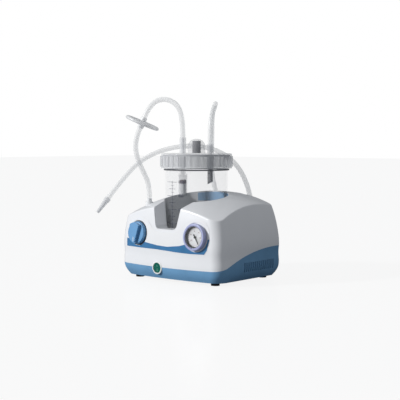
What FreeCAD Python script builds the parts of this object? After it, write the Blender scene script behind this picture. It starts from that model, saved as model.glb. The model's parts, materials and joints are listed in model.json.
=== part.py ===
"""Tabletop suction aspirator: hollow two-part housing, clear collection jar, pump and controls.

Frame: +Z is up, the front faces -Y, +X is to the right of someone facing the front. The origin
lies on the standing surface, at the centre of the housing's width and depth.
"""
import FreeCAD, Part
import math
import os
import re

import Sketcher
from FreeCAD import Placement, Rotation, Vector

DOC = FreeCAD.newDocument("suction_aspirator")
SHEET = DOC.addObject("Spreadsheet::Sheet", "Sizes")

SIZES = {
    # Housing outline, walls and the heights at which its plan changes
    "housing_width": 250.0,
    "housing_depth": 196.0,
    "front_bow": 9.5,
    "front_corner": 24.0,
    "rear_corner": 15.5,
    "casing_wall": 3.0,
    "base_height": 5.8,
    "belly_height": 30.0,
    "waist_height": 62.0,
    "rim_height": 176.0,
    "base_tuck": 9.0,
    "rim_lean": 34.0,
    "rim_front_lean": 14.0,
    "rim_rear_lean": 9.0,
    # Arched top
    "crown_height": 164.5,
    "crown_peak_y": 38.0,
    "crown_cross_radius": 275.0,
    "crown_long_radius": 350.0,
    "top_edge_round": 4.0,
    # Line where the blue base meets the white casing
    "seam_front": 26.8,
    "seam_rear": 63.0,
    "seam_start_y": -109.0,
    "seam_slope": 20.0,
    "seam_low_radius": 120.0,
    "seam_high_radius": 377.0,
    # Jar well and the window in front of it
    "jar_axis_y": -8.2,
    "well_radius": 62.0,
    "well_floor": 52.0,
    "window_floor": 98.5,
    "window_foot_width": 50.0,
    "window_top_width": 78.0,
    "window_round": 10.0,
    "pot_gap": 0.5,
    # Carrying handle over the finger recess
    "handle_width": 96.0,
    "handle_bottom": 144.0,
    "handle_rear": 87.0,
    "recess_floor": 116.0,
    # Cooling slots in both sides of the base
    "vent_width": 3.0,
    "vent_pitch": 6.2,
    "vent_count": 15,
    "vent_bottom": 21.0,
    "vent_height": 18.0,
    "vent_first_y": -20.0,
    # Feet and screws
    "foot_radius": 8.0,
    "foot_spread_x": 94.0,
    "foot_front_y": -66.0,
    "foot_rear_y": 76.0,
    "post_radius": 5.0,
    "post_spread_x": 104.0,
    "post_front_y": -58.0,
    "post_rear_y": 80.0,
    "screw_radius": 2.0,
    "screw_head_radius": 3.6,
    "screw_grip": 24.0,
    # Jar
    "jar_radius": 60.0,
    "jar_wall": 2.5,
    "jar_floor": 4.0,
    "jar_height": 180.0,
    "jar_bottom_round": 8.0,
    "jar_rim_height": 5.0,
    # Lid
    "lid_bottom": 209.5,
    "lid_top": 237.8,
    "lid_radius": 69.2,
    "lid_wall": 3.0,
    "lid_gap": 0.3,
    "rib_depth": 1.5,
    "rib_width": 2.6,
    "rib_count": 36,
    "gasket_width": 4.6,
    "port_offset": 26.0,
    "port_angle": 40.0,
    "port_radius": 6.3,
    "port_bore": 3.2,
    "suction_port_height": 30.0,
    "patient_port_height": 17.0,
    "dome_radius": 17.0,
    "dome_height": 27.5,
    # Overflow valve under the vacuum port and the drop tube under the patient port
    "cage_radius": 8.4,
    "cage_wall": 1.2,
    "cage_bottom": 157.0,
    "float_radius": 5.6,
    "float_height": 22.0,
    "float_travel": 8.5,
    "float_seal_height": 7.0,
    "seat_height": 196.0,
    "drop_radius": 5.4,
    "drop_bottom": 179.0,
    # Front controls, each on an axis that leans back with the front wall
    "front_tilt": 5.0,
    "control_y": -93.2,
    "control_z": 88.0,
    "knob_x": -71.0,
    "knob_radius": 21.5,
    "knob_depth": 9.0,
    "blade_rise": 6.0,
    "blade_half_width": 12.0,
    "blade_tip_half": 3.0,
    "blade_tip_inset": 3.0,
    "blade_shoulder": 6.0,
    "knob_lift": 2.2,
    "collar_radius": 23.1,
    "collar_height": 1.9,
    "knob_seat_rim": 2.0,
    "gauge_seat_rim": 1.5,
    "seat_depth": 7.0,
    "stem_radius": 3.0,
    "stem_reach": 18.0,
    "stem_socket_floor": 2.0,
    "running_gap": 0.05,
    "gauge_x": 71.0,
    "gauge_radius": 24.7,
    "gauge_rise": 8.2,
    "dial_radius": 19.2,
    "gauge_body_radius": 21.0,
    "gauge_body_depth": 18.0,
    "needle_length": 14.5,
    "needle_angle": -57.0,
    "spindle_radius": 0.9,
    "seat_gap": 0.1,
    "switch_x": -20.0,
    "switch_y": -96.6,
    "switch_z": 25.7,
    "switch_radius": 12.0,
    "rocker_radius": 9.4,
    "rocker_tilt": 7.0,
    "rocker_gap": 0.3,
    "switch_rise": 2.2,
    # Vacuum port on the top left of the casing
    "nipple_x": -86.0,
    "nipple_y": -48.0,
    "nipple_top": 150.0,
    "nipple_seat": 139.8,
    # Pump
    "pump_x": 86.0,
    "pump_axis_y": -5.0,
    "motor_z": 44.0,
    "motor_radius": 22.0,
    "motor_front_y": 16.0,
    "motor_length": 50.0,
    "shaft_radius": 4.0,
    "crank_throw": 3.0,
    "crank_radius": 4.5,
    "cylinder_bore": 13.0,
    "cylinder_radius": 17.0,
    "cylinder_top": 92.0,
    "fin_radius": 20.0,
    "fin_pitch": 6.0,
    "fin_thickness": 2.0,
    "head_height": 9.0,
    "head_nipple_drop": 5.0,
    "plate_bottom": 12.0,
    "plate_thickness": 3.0,
    "plate_half_width": 21.0,
    "plate_clearance": 6.0,
    "plate_front": -22.0,
    "plate_rear": 70.0,
    "mount_radius": 5.0,
    "mount_inset": 6.0,
    "case_half_width": 17.0,
    "case_wall": 2.5,
    "case_rear": 12.0,
    "case_length": 33.0,
    "case_top": 62.0,
    "fan_radius": 19.0,
    "fan_hub": 7.0,
    "fan_width": 6.0,
    "fan_blades": 6,
    # Mains inlet in the rear of the base
    "inlet_x": -60.0,
    "inlet_z": 36.0,
    "inlet_width": 27.0,
    "inlet_height": 19.0,
    "inlet_depth": 22.0,
    "inlet_rise": 1.5,
    "inlet_flange": 2.0,
    "socket_wall": 1.6,
    "socket_chamfer": 6.0,
    "pin_spread": 7.0,
    "pin_drop": 2.0,
    "pin_half_width": 1.0,
    "pin_half_height": 2.0,
    "wall_bulge": 0.3,
    # Tubes
    "tube_radius": 4.8,
    "hose_radius": 3.5,
    "filter_radius": 34.0,
    "filter_width": 8.0,
    "filter_rim": 2.0,
    "filter_hub_rise": 1.4,
}


def fill_sheet():
    """Write every driving size into the sheet, one named cell each."""
    for row, (name, number) in enumerate(SIZES.items(), start=1):
        SHEET.set(f"A{row}", name)
        SHEET.set(f"B{row}", str(number))
        SHEET.setAlias(f"B{row}", name)
    DOC.recompute()


def linked(formula):
    """Formula with each size name turned into a reference to its sheet cell."""
    return re.sub(r"[a-z]+_[a-z_0-9]+", lambda word: "Sizes." + word.group(0), str(formula))


def amount(formula):
    """Present number of a sheet formula."""
    return float(SHEET.evalExpression(str(formula)))


def new_body(label):
    """Empty body whose label is the name of its node."""
    body = DOC.addObject("PartDesign::Body", label)
    body.Label = label
    return body


def sketch_on(body, plane, name, lift="0"):
    """Sketch on one of the body's own origin planes, lifted off it by a bound distance."""
    sketch = body.newObject("Sketcher::SketchObject", name)
    support = next(item for item in body.Origin.OriginFeatures if item.Role == plane)
    sketch.AttachmentSupport = [(support, "")]
    sketch.MapMode = "FlatFace"
    sketch.setExpression("AttachmentOffset.Base.z", linked(lift))
    return sketch


def hold(sketch, kind, *places, formula=None):
    """Add one constraint and, where a formula is given, bind its value to the sheet."""
    if formula is None:
        return sketch.addConstraint(Sketcher.Constraint(kind, *places))
    index = sketch.addConstraint(Sketcher.Constraint(kind, *places, amount(formula)))
    sketch.setExpression(f"Constraints[{index}]", linked(formula))
    return index


def arc_between(centre, radius, first, second, leftward):
    """Arc that a sketch stores anticlockwise, and the end of it that comes first."""
    ends = (first, second) if leftward else (second, first)
    angles = [math.atan2(end.y - centre.y, end.x - centre.x) for end in ends]
    if angles[1] < angles[0]:
        angles[1] += 2 * math.pi
    circle = Part.Circle(centre, Vector(0, 0, 1), radius)
    return Part.ArcOfCircle(circle, angles[0], angles[1]), (1 if leftward else 2)


def draw(sketch, corners):
    """Closed outline through corners (x, y) or (x, y, radius), all given as sheet formulas.

    A corner with a radius is rounded by an arc tangent to both its sides.
    """
    spots = [Vector(amount(corner[0]), amount(corner[1]), 0) for corner in corners]
    count = len(spots)
    cuts = []
    for index, corner in enumerate(corners):
        before = (spots[index - 1] - spots[index]).normalize()
        after = (spots[(index + 1) % count] - spots[index]).normalize()
        if len(corner) == 2:
            cuts.append((spots[index], spots[index], None))
            continue
        radius = amount(corner[2])
        half = math.acos(max(-1.0, min(1.0, before.dot(after)))) / 2
        setback = radius / math.tan(half)
        middle = spots[index] + (before + after).normalize() * (radius / math.sin(half))
        leftward = before.cross(after).z < 0
        start = spots[index] + before * setback
        end = spots[index] + after * setback
        cuts.append((start, end, arc_between(middle, radius, start, end, leftward)))
    base = sketch.GeometryCount
    for index in range(count):
        line = Part.LineSegment(cuts[index][1], cuts[(index + 1) % count][0])
        sketch.addGeometry(line, False)
    for index, corner in enumerate(corners):
        line_in = base + (index - 1) % count
        line_out = base + index
        if cuts[index][2] is None:
            hold(sketch, "Coincident", line_in, 2, line_out, 1)
            hold(sketch, "DistanceX", -1, 1, line_out, 1, formula=corner[0])
            hold(sketch, "DistanceY", -1, 1, line_out, 1, formula=corner[1])
            continue
        arc, first = cuts[index][2]
        place = sketch.addGeometry(arc, False)
        tip = sketch.addGeometry(Part.Point(spots[index]), True)
        hold(sketch, "Tangent", line_in, 2, place, first)
        hold(sketch, "Tangent", line_out, 1, place, 3 - first)
        hold(sketch, "Radius", place, formula=corner[2])
        hold(sketch, "PointOnObject", tip, 1, line_in)
        hold(sketch, "PointOnObject", tip, 1, line_out)
        hold(sketch, "DistanceX", -1, 1, tip, 1, formula=corner[0])
        hold(sketch, "DistanceY", -1, 1, tip, 1, formula=corner[1])


def ring(sketch, x, y, radius):
    """Full circle whose centre and radius are bound to the sheet."""
    circle = Part.Circle(Vector(amount(x), amount(y), 0), Vector(0, 0, 1), amount(radius))
    place = sketch.addGeometry(circle, False)
    hold(sketch, "Radius", place, formula=radius)
    hold(sketch, "DistanceX", -1, 1, place, 3, formula=x)
    hold(sketch, "DistanceY", -1, 1, place, 3, formula=y)


def bar(left, right, bottom, top):
    """Corners of a rectangle."""
    return [(left, bottom), (right, bottom), (right, top), (left, top)]


def padded(body, name, plane, outlines, length, lift="0", cut=False, back=False, middle=False):
    """Pad, or pocket, one or more closed outlines drawn on an origin plane of the body."""
    sketch = sketch_on(body, plane, name + "_sketch", lift)
    for outline in outlines:
        if isinstance(outline, tuple):
            ring(sketch, *outline)
        else:
            draw(sketch, outline)
    feature = body.newObject("PartDesign::Pocket" if cut else "PartDesign::Pad", name)
    feature.Profile = sketch
    feature.setExpression("Length", linked(length))
    feature.Reversed = back
    if middle:
        feature.SideType = "Symmetric"
    return feature


def turned(body, name, corners, cut=False, lift="0", plane="XZ_Plane"):
    """Revolve a half section of (radius, height) corners about the body's own Z axis."""
    sketch = sketch_on(body, plane, name + "_sketch", lift)
    draw(sketch, corners)
    feature = body.newObject("PartDesign::Groove" if cut else "PartDesign::Revolution", name)
    feature.Profile = sketch
    feature.ReferenceAxis = (sketch, ["V_Axis"])
    feature.Angle = 360.0
    return feature


def repeated_round(body, feature, count):
    """Copies of a feature spaced evenly about the body's Z axis."""
    pattern = body.newObject("PartDesign::PolarPattern", feature.Name + "_ring")
    pattern.Originals = [feature]
    pattern.Axis = (feature.Profile[0], ["V_Axis"])
    axis = next(item for item in body.Origin.OriginFeatures if item.Role == "Z_Axis")
    pattern.Axis = (axis, [""])
    pattern.Angle = 360.0
    pattern.setExpression("Occurrences", linked(count))
    body.Tip = pattern
    return pattern


def placed(thing, x="0", y="0", z="0", rotation=None):
    """Put a finished piece at a bound place in the part's frame."""
    if rotation is not None:
        thing.Placement = Placement(Vector(), rotation)
    for axis, formula in zip("xyz", (x, y, z)):
        thing.setExpression(f"Placement.Base.{axis}", linked(formula))
    return thing


def front_facing():
    """Rotation that turns a piece's own +Z outward through the leaning front wall."""
    return Rotation(Vector(1, 0, 0), 90.0 - amount("front_tilt"))


def boolean(kind, label, base, tool):
    """Part boolean of two objects."""
    result = DOC.addObject("Part::" + kind, label)
    result.Label = label
    result.Base = base
    result.Tool = tool
    result.Refine = False
    return result


def cut_in_turn(label, base, tools):
    """Part cuts made one after another; the last one carries the label."""
    for tool in tools[:-1]:
        base = boolean("Cut", f"{label}_less_{tool.Label}", base, tool)
    return boolean("Cut", label, base, tools[-1])


NODES = []

# The controls reach further forward than the housing does, so every piece is moved back by this
# much to bring the middle of the whole depth to the origin.
FRAME_SHIFT = (
    "((knob_depth + blade_rise) * cos(front_tilt)"
    " + (knob_radius - blade_tip_inset) * sin(front_tilt)"
    " - control_y - housing_depth / 2 - wall_bulge - inlet_rise) / 2"
)


def node(thing, x="0", y="0", z="0", rotation=None):
    """Set a finished piece in its place in the part's frame and mark it as one to write out."""
    NODES.append(thing)
    return placed(thing, x, f"{y} + {FRAME_SHIFT}", z, rotation)


def plan_levels(inset):
    """Heights of the housing's plans, each with its side, front and rear setbacks.

    The walls curve in under the belly and lean in above the waist, both as a square law.
    """
    bottom = f"base_height + {inset}"
    levels = []
    for share in (0, 1 / 3, 2 / 3, 1):
        tuck = f"base_tuck * {(1 - share) ** 2:.4f}"
        levels.append((f"{bottom} + (belly_height - ({bottom})) * {share:.4f}", tuck, tuck, tuck))
    names = ("rim_lean", "rim_front_lean", "rim_rear_lean")
    for share in (0, 0.25, 0.5, 0.75, 1):
        leans = [f"{name} * {share**2:.4f}" for name in names]
        levels.append((f"waist_height + (rim_height - waist_height) * {share:.2f}", *leans))
    return levels


def plan_outline(body, name, level, inset):
    """Plan of the housing at one height: bowed front, straight sides and rear, round corners."""
    height, side, front, rear = level
    sketch = sketch_on(body, "XY_Plane", name, height)
    half = f"housing_width / 2 - ({side}) - ({inset})"
    back = f"housing_depth / 2 - ({rear}) - ({inset})"
    bow = f"(housing_width ^ 2 / 4 + front_bow ^ 2) / (2 * front_bow) - ({inset})"
    centre = f"-(housing_depth / 2) + ({front}) + ({inset}) + {bow}"
    front_round = f"front_corner - ({inset})"
    rear_round = f"rear_corner - ({inset})"
    x, y, bow_radius = amount(half), amount(back), amount(bow)
    middle = Vector(0, amount(centre), 0)
    near, far = amount(front_round), amount(rear_round)
    drop = math.sqrt((bow_radius - near) ** 2 - (x - near) ** 2)
    hub = Vector(x - near, middle.y - drop, 0)
    touch = middle + (hub - middle).normalize() * bow_radius
    swing = math.degrees(math.atan2(touch.y - middle.y, touch.x))

    def arc(spot, radius, start, end):
        circle = Part.Circle(spot, Vector(0, 0, 1), radius)
        return Part.ArcOfCircle(circle, math.radians(start), math.radians(end))

    sketch.addGeometry(
        [
            arc(middle, bow_radius, -180 - swing, swing),
            arc(hub, near, swing, 0),
            Part.LineSegment(Vector(x, hub.y, 0), Vector(x, y - far, 0)),
            arc(Vector(x - far, y - far, 0), far, 0, 90),
            Part.LineSegment(Vector(x - far, y, 0), Vector(far - x, y, 0)),
            arc(Vector(far - x, y - far, 0), far, 90, 180),
            Part.LineSegment(Vector(-x, y - far, 0), Vector(-x, hub.y, 0)),
            arc(Vector(-hub.x, hub.y, 0), near, 180, 180 - swing),
        ],
        False,
    )
    for index in range(8):
        hold(sketch, "Tangent", index, 2, (index + 1) % 8, 1)
    for index in (1, 7):
        hold(sketch, "Radius", index, formula=front_round)
    for index in (3, 5):
        hold(sketch, "Radius", index, formula=rear_round)
    hold(sketch, "Radius", 0, formula=bow)
    hold(sketch, "Vertical", 2)
    hold(sketch, "Vertical", 6)
    hold(sketch, "Horizontal", 4)
    hold(sketch, "DistanceX", -1, 1, 2, 1, formula=half)
    hold(sketch, "DistanceX", -1, 1, 6, 1, formula=f"-({half})")
    hold(sketch, "DistanceY", -1, 1, 4, 1, formula=back)
    hold(sketch, "DistanceX", -1, 1, 0, 3, formula="0")
    hold(sketch, "DistanceY", -1, 1, 0, 3, formula=centre)
    return sketch


def housing_form(label, inset):
    """Solid with the housing's outer form, drawn in by an inset, under its arched top."""
    body = new_body(label)
    plans = []
    for index, level in enumerate(plan_levels(inset)):
        plans.append(plan_outline(body, f"{label}_plan_{index}", level, inset))
    loft = body.newObject("PartDesign::AdditiveLoft", label + "_loft")
    loft.Profile = plans[0]
    loft.Sections = plans[1:]
    DOC.recompute()
    arch = sketch_on(body, "XZ_Plane", label + "_arch", "-crown_peak_y")
    radius = f"crown_cross_radius - ({inset})"
    reach = "housing_width * 0.6"
    ceiling = "rim_height + 80"
    low = amount("crown_height - crown_cross_radius")
    side_x = amount(reach)
    rise = math.sqrt(amount(radius) ** 2 - side_x**2)
    turn = math.atan2(rise, side_x)
    circle = Part.Circle(Vector(0, low, 0), Vector(0, 0, 1), amount(radius))
    top = amount(ceiling)
    arch.addGeometry(
        [
            Part.ArcOfCircle(circle, turn, math.pi - turn),
            Part.LineSegment(Vector(-side_x, low + rise, 0), Vector(-side_x, top, 0)),
            Part.LineSegment(Vector(-side_x, top, 0), Vector(side_x, top, 0)),
            Part.LineSegment(Vector(side_x, top, 0), Vector(side_x, low + rise, 0)),
        ],
        False,
    )
    axis_z = amount("crown_height - crown_long_radius")
    axle = arch.addGeometry(Part.LineSegment(Vector(-50, axis_z, 0), Vector(50, axis_z, 0)), True)
    hold(arch, "Coincident", 0, 2, 1, 1)
    hold(arch, "Coincident", 1, 2, 2, 1)
    hold(arch, "Coincident", 2, 2, 3, 1)
    hold(arch, "Coincident", 3, 2, 0, 1)
    hold(arch, "Radius", 0, formula=radius)
    hold(arch, "DistanceX", -1, 1, 0, 3, formula="0")
    hold(arch, "DistanceY", -1, 1, 0, 3, formula="crown_height - crown_cross_radius")
    for line, place in ((1, 1), (2, 1), (3, 1), (3, 2)):
        side_sign = "-" if line < 3 else ""
        hold(arch, "DistanceX", -1, 1, line, place, formula=f"{side_sign}({reach})")
    hold(arch, "DistanceY", -1, 1, 2, 1, formula=ceiling)
    hold(arch, "DistanceY", -1, 1, 3, 1, formula=ceiling)
    hold(arch, "Horizontal", axle)
    hold(arch, "DistanceY", -1, 1, axle, 1, formula="crown_height - crown_long_radius")
    crown = body.newObject("PartDesign::Groove", label + "_crown")
    crown.Profile = arch
    crown.ReferenceAxis = (arch, ["Axis0"])
    crown.Angle = 60.0
    crown.Midplane = True
    DOC.recompute()
    return body


def round_top_edge(body):
    """Round the edge between the arched top and the walls."""
    crown = body.Tip
    names = []
    for face in crown.Shape.Faces:
        if face.Surface.TypeId == "Part::GeomSurfaceOfRevolution":
            for edge in face.Edges:
                names += [f"Edge{n}" for n, e in enumerate(crown.Shape.Edges, 1) if e.isSame(edge)]
    fillet = body.newObject("PartDesign::Fillet", body.Label + "_round")
    fillet.Base = (crown, names)
    fillet.setExpression("Radius", linked("top_edge_round"))
    DOC.recompute()
    return fillet


def seam_side_view(body, name):
    """Everything under the seam, as a side view carried right across the housing."""
    sketch = sketch_on(body, "YZ_Plane", name)
    slope = math.radians(amount("seam_slope"))
    low, high = amount("seam_low_radius"), amount("seam_high_radius")
    start, front, rear = amount("seam_start_y"), amount("seam_front"), amount("seam_rear")
    first = Vector(start + low * math.sin(slope), front + low * (1 - math.cos(slope)), 0)
    climb = rear - high * (1 - math.cos(slope)) - first.y
    second = Vector(first.x + climb / math.tan(slope), first.y + climb, 0)
    crest = Vector(second.x + high * math.sin(slope), rear, 0)
    reach = "housing_depth"
    out, under = amount(reach), -amount(reach)
    lower = Part.Circle(Vector(start, front + low, 0), Vector(0, 0, 1), low)
    upper = Part.Circle(Vector(crest.x, rear - high, 0), Vector(0, 0, 1), high)
    quarter = math.pi / 2
    sketch.addGeometry(
        [
            Part.LineSegment(Vector(-out, front, 0), Vector(start, front, 0)),
            Part.ArcOfCircle(lower, -quarter, slope - quarter),
            Part.LineSegment(first, second),
            Part.ArcOfCircle(upper, quarter, quarter + slope),
            Part.LineSegment(crest, Vector(out, rear, 0)),
            Part.LineSegment(Vector(out, rear, 0), Vector(out, under, 0)),
            Part.LineSegment(Vector(out, under, 0), Vector(-out, under, 0)),
            Part.LineSegment(Vector(-out, under, 0), Vector(-out, front, 0)),
        ],
        False,
    )
    hold(sketch, "Tangent", 0, 2, 1, 1)
    hold(sketch, "Tangent", 1, 2, 2, 1)
    hold(sketch, "Tangent", 2, 2, 3, 2)
    hold(sketch, "Tangent", 3, 1, 4, 1)
    for line in (4, 5, 6, 7):
        hold(sketch, "Coincident", line, 2, (line + 1) % 8, 1)
    for line in (0, 4, 6):
        hold(sketch, "Horizontal", line)
    for line in (5, 7):
        hold(sketch, "Vertical", line)
    hold(sketch, "Radius", 1, formula="seam_low_radius")
    hold(sketch, "Radius", 3, formula="seam_high_radius")
    hold(sketch, "DistanceX", -1, 1, 0, 2, formula="seam_start_y")
    hold(sketch, "DistanceY", -1, 1, 0, 2, formula="seam_front")
    hold(sketch, "DistanceY", -1, 1, 4, 1, formula="seam_rear")
    tilt = sketch.addConstraint(Sketcher.Constraint("Angle", -1, 1, 2, 1, slope))
    sketch.setExpression(f"Constraints[{tilt}]", linked("seam_slope * 1 deg"))
    hold(sketch, "DistanceX", -1, 1, 5, 1, formula=reach)
    hold(sketch, "DistanceX", -1, 1, 7, 1, formula=f"-{reach}")
    hold(sketch, "DistanceY", -1, 1, 6, 1, formula=f"-{reach}")
    return sketch


def under_seam(label):
    """Block that holds all below the seam line but the pot of the jar well."""
    body = new_body(label)
    sketch = seam_side_view(body, label + "_side")
    pad = body.newObject("PartDesign::Pad", label + "_pad")
    pad.Profile = sketch
    pad.setExpression("Length", linked("housing_width * 2"))
    pad.SideType = "Symmetric"
    pot = ("0", "jar_axis_y", "well_radius + casing_wall + pot_gap")
    low = "well_floor - casing_wall - pot_gap"
    padded(body, label + "_pot", "XY_Plane", [pot], "rim_height", low, cut=True, back=True)
    return body


def window_outline(grow):
    """Front view of the window before the jar, widened all round by a wall."""
    foot = f"window_foot_width / 2 + {grow}"
    top = f"window_top_width / 2 + {grow}"
    floor = f"window_floor - {grow}"
    soft = f"window_round + {grow}"
    return [
        (f"-({foot})", floor, soft),
        (foot, floor, soft),
        (top, "crown_height"),
        (top, "rim_height + 40"),
        (f"-({top})", "rim_height + 40"),
        (f"-({top})", "crown_height"),
    ]


def post_rings(radius):
    """Circles about the four screw posts."""
    rings = []
    for x in ("-post_spread_x", "post_spread_x"):
        rings += [(x, "post_front_y", radius), (x, "post_rear_y", radius)]
    return rings


def foot_rings(radius):
    """Circles about the four feet."""
    rings = []
    for x in ("-foot_spread_x", "foot_spread_x"):
        rings += [(x, "foot_front_y", radius), (x, "foot_rear_y", radius)]
    return rings


def housing_cavity():
    """Room inside the housing, less the well, window and recess walls and the screw posts."""
    cavity = housing_form("housing_cavity", "casing_wall")
    column = ("0", "jar_axis_y", "well_radius + casing_wall")
    window = window_outline("casing_wall")
    half = "handle_width / 2 + casing_wall"
    recess = bar(f"-({half})", half, "0", "housing_depth")
    posts = post_rings("post_radius")
    seats = [
        ("knob_x", "control_z", "knob_radius + knob_seat_rim"),
        ("gauge_x", "control_z", "gauge_radius + knob_seat_rim"),
    ]
    for name, plane, outlines, length, lift in (
        ("well_column", "XY_Plane", [column], "rim_height", "well_floor - casing_wall"),
        ("window_walls", "XZ_Plane", [window], "housing_depth", "-jar_axis_y"),
        ("recess_walls", "XY_Plane", [recess], "rim_height", "recess_floor - casing_wall"),
        ("screw_posts", "XY_Plane", posts, "rim_height", "0"),
        ("control_seats", "XZ_Plane", seats, "housing_depth", "-control_y - seat_depth"),
    ):
        padded(cavity, name, plane, outlines, length, lift, cut=True, back=True)
    DOC.recompute()
    return cavity


def control_bores(label):
    """Holes through the front wall, square to the leaning controls, with their flat seats."""
    tool = new_body(label)
    shaft = ("knob_x", "0", "stem_radius * 2")
    case = ("gauge_x", "0", "gauge_body_radius + running_gap")
    through = "gauge_body_depth * 2"
    padded(tool, "control_ways", "XY_Plane", [shaft, case], through, "-gauge_body_depth")
    seats = [
        ("knob_x", "0", "knob_radius + knob_seat_rim"),
        ("gauge_x", "0", "gauge_radius + gauge_seat_rim"),
    ]
    padded(tool, "control_faces", "XY_Plane", seats, "gauge_body_depth")
    return placed(tool, "0", "control_y", "control_z", front_facing())


def well_bore(label):
    """Round well that the jar stands in."""
    tool = new_body(label)
    outline = ("0", "jar_axis_y", "well_radius")
    padded(tool, "bore", "XY_Plane", [outline], "rim_height", "well_floor")
    return tool


def window_tunnel(label):
    """Window from the front of the casing into the well."""
    tool = new_body(label)
    padded(tool, "tunnel", "XZ_Plane", [window_outline("0")], "housing_depth", "-jar_axis_y")
    return tool


def finger_recess(label):
    """Open space for the fingers behind the well wall, and the handle's place above it."""
    tool = new_body(label)
    floor = bar("-(handle_width / 2)", "handle_width / 2", "well_radius / 2", "housing_depth")
    padded(tool, "recess", "XY_Plane", [floor], "rim_height", "recess_floor")
    wall = ("0", "jar_axis_y", "well_radius + casing_wall")
    padded(tool, "well_wall", "XY_Plane", [wall], "handle_bottom", cut=True, back=True)
    return tool


def screw_pilots(label):
    """Pilot holes for the casing screws, up into the four posts."""
    tool = new_body(label)
    length = "seam_rear + screw_grip + 2"
    padded(tool, "pilots", "XY_Plane", post_rings("screw_radius + running_gap"), length)
    return tool


def switch_bore(label):
    """Round hole for the power switch, half in the base and half in the casing."""
    tool = new_body(label)
    body_hole = ("switch_x", "switch_z", "switch_radius - 1.5")
    padded(tool, "switch_hole", "XZ_Plane", [body_hole], "30", "-switch_y - 15")
    frame_seat = ("switch_x", "switch_z", "switch_radius + running_gap")
    padded(tool, "switch_seat", "XZ_Plane", [frame_seat], "20", "-switch_y")
    return tool


def nipple_bore(label):
    """Hole for the vacuum port in the top of the casing."""
    tool = new_body(label)
    hole = ("nipple_x", "nipple_y", "port_radius + 1 + running_gap")
    padded(tool, "port_hole", "XY_Plane", [hole], "rim_height", "waist_height")
    return tool


def upper_casing(shell, seam):
    """White upper casing: crowned shell with the jar well, its front window and the recess."""
    tools = [
        seam,
        well_bore("well_bore"),
        window_tunnel("window_tunnel"),
        finger_recess("finger_recess"),
        control_bores("control_bores"),
        switch_bore("casing_switch_bore"),
        nipple_bore("nipple_bore"),
        screw_pilots("screw_pilots"),
    ]
    return node(cut_in_turn("upper_casing", shell, tools))


def vent_slots(label):
    """Row of round-ended cooling slots through both side walls of the base."""
    tool = new_body(label)
    left, right = "vent_first_y", "vent_first_y + vent_width"
    end = "vent_width / 2 - 0.01"
    slot = [
        (left, "vent_bottom", end),
        (right, "vent_bottom", end),
        (right, "vent_bottom + vent_height", end),
        (left, "vent_bottom + vent_height", end),
    ]
    first = padded(tool, "slot", "YZ_Plane", [slot], "housing_width * 2", middle=True)
    DOC.recompute()
    row = tool.newObject("PartDesign::LinearPattern", "slot_row")
    row.Originals = [first]
    row.Direction = (first.Profile[0], ["H_Axis"])
    row.Mode = "Spacing"
    row.setExpression("Offset", linked("vent_pitch"))
    row.setExpression("Occurrences", linked("vent_count"))
    tool.Tip = row
    return tool


def inlet_hole(label):
    """Cut-out for the mains inlet in the rear wall of the base."""
    tool = new_body(label)
    outline = bar(
        "inlet_x - inlet_width / 2",
        "inlet_x + inlet_width / 2",
        "inlet_z - inlet_height / 2",
        "inlet_z + inlet_height / 2",
    )
    padded(tool, "inlet_cut", "XZ_Plane", [outline], "40", "-(housing_depth / 2) - 15")
    return tool


def base_tray(shell, seam):
    """Blue base: floor, walls up to the seam, side vents, screw and foot holes."""
    holes = new_body("base_holes")
    ways = post_rings("screw_radius + running_gap")
    heads = post_rings("screw_head_radius + pot_gap")
    plugs = foot_rings("foot_radius / 2")
    padded(holes, "screw_ways", "XY_Plane", ways, "rim_height")
    padded(holes, "screw_heads", "XY_Plane", heads, "base_height + casing_wall + 1")
    padded(holes, "foot_ways", "XY_Plane", plugs, "base_height + casing_wall")
    lower = boolean("Common", "base_blank", shell, seam)
    tools = [
        holes,
        vent_slots("vent_slots"),
        switch_bore("base_switch_bore"),
        inlet_hole("inlet_hole"),
    ]
    return node(cut_in_turn("base_tray", lower, tools))


def rear_handle(blank):
    """Blue handle bar: follows the crown, with a hollow front that continues the well."""
    tool = new_body("handle_blank")
    fit = "handle_width / 2"
    outline = [
        (f"-({fit})", "well_radius / 2"),
        (fit, "well_radius / 2"),
        (fit, "handle_rear - 8"),
        ("handle_width / 2 - 14", "handle_rear", "10"),
        ("-(handle_width / 2) + 14", "handle_rear", "10"),
        (f"-({fit})", "handle_rear - 8"),
    ]
    padded(tool, "handle_bar", "XY_Plane", [outline], "rim_height", "handle_bottom")
    well = ("0", "jar_axis_y", "well_radius")
    low = "handle_bottom - casing_wall"
    padded(tool, "handle_hollow", "XY_Plane", [well], "rim_height", low, cut=True, back=True)
    return node(boolean("Common", "rear_handle", tool, blank))


def rubber_feet():
    """Four rubber feet, each plugged into the floor of the base."""
    feet = new_body("rubber_feet")
    padded(feet, "foot_pads", "XY_Plane", foot_rings("foot_radius"), "base_height")
    padded(feet, "foot_plugs", "XY_Plane", foot_rings("foot_radius / 2"), "base_height + casing_wall")
    return node(feet)


def casing_screws():
    """Four screws that hold the base and the casing together."""
    screws = new_body("casing_screws")
    padded(screws, "heads", "XY_Plane", post_rings("screw_head_radius"), "3", "base_height + 1")
    length = "seam_rear + screw_grip - base_height - 1"
    padded(screws, "shanks", "XY_Plane", post_rings("screw_radius"), length, "base_height + 1")
    return node(screws)


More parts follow.
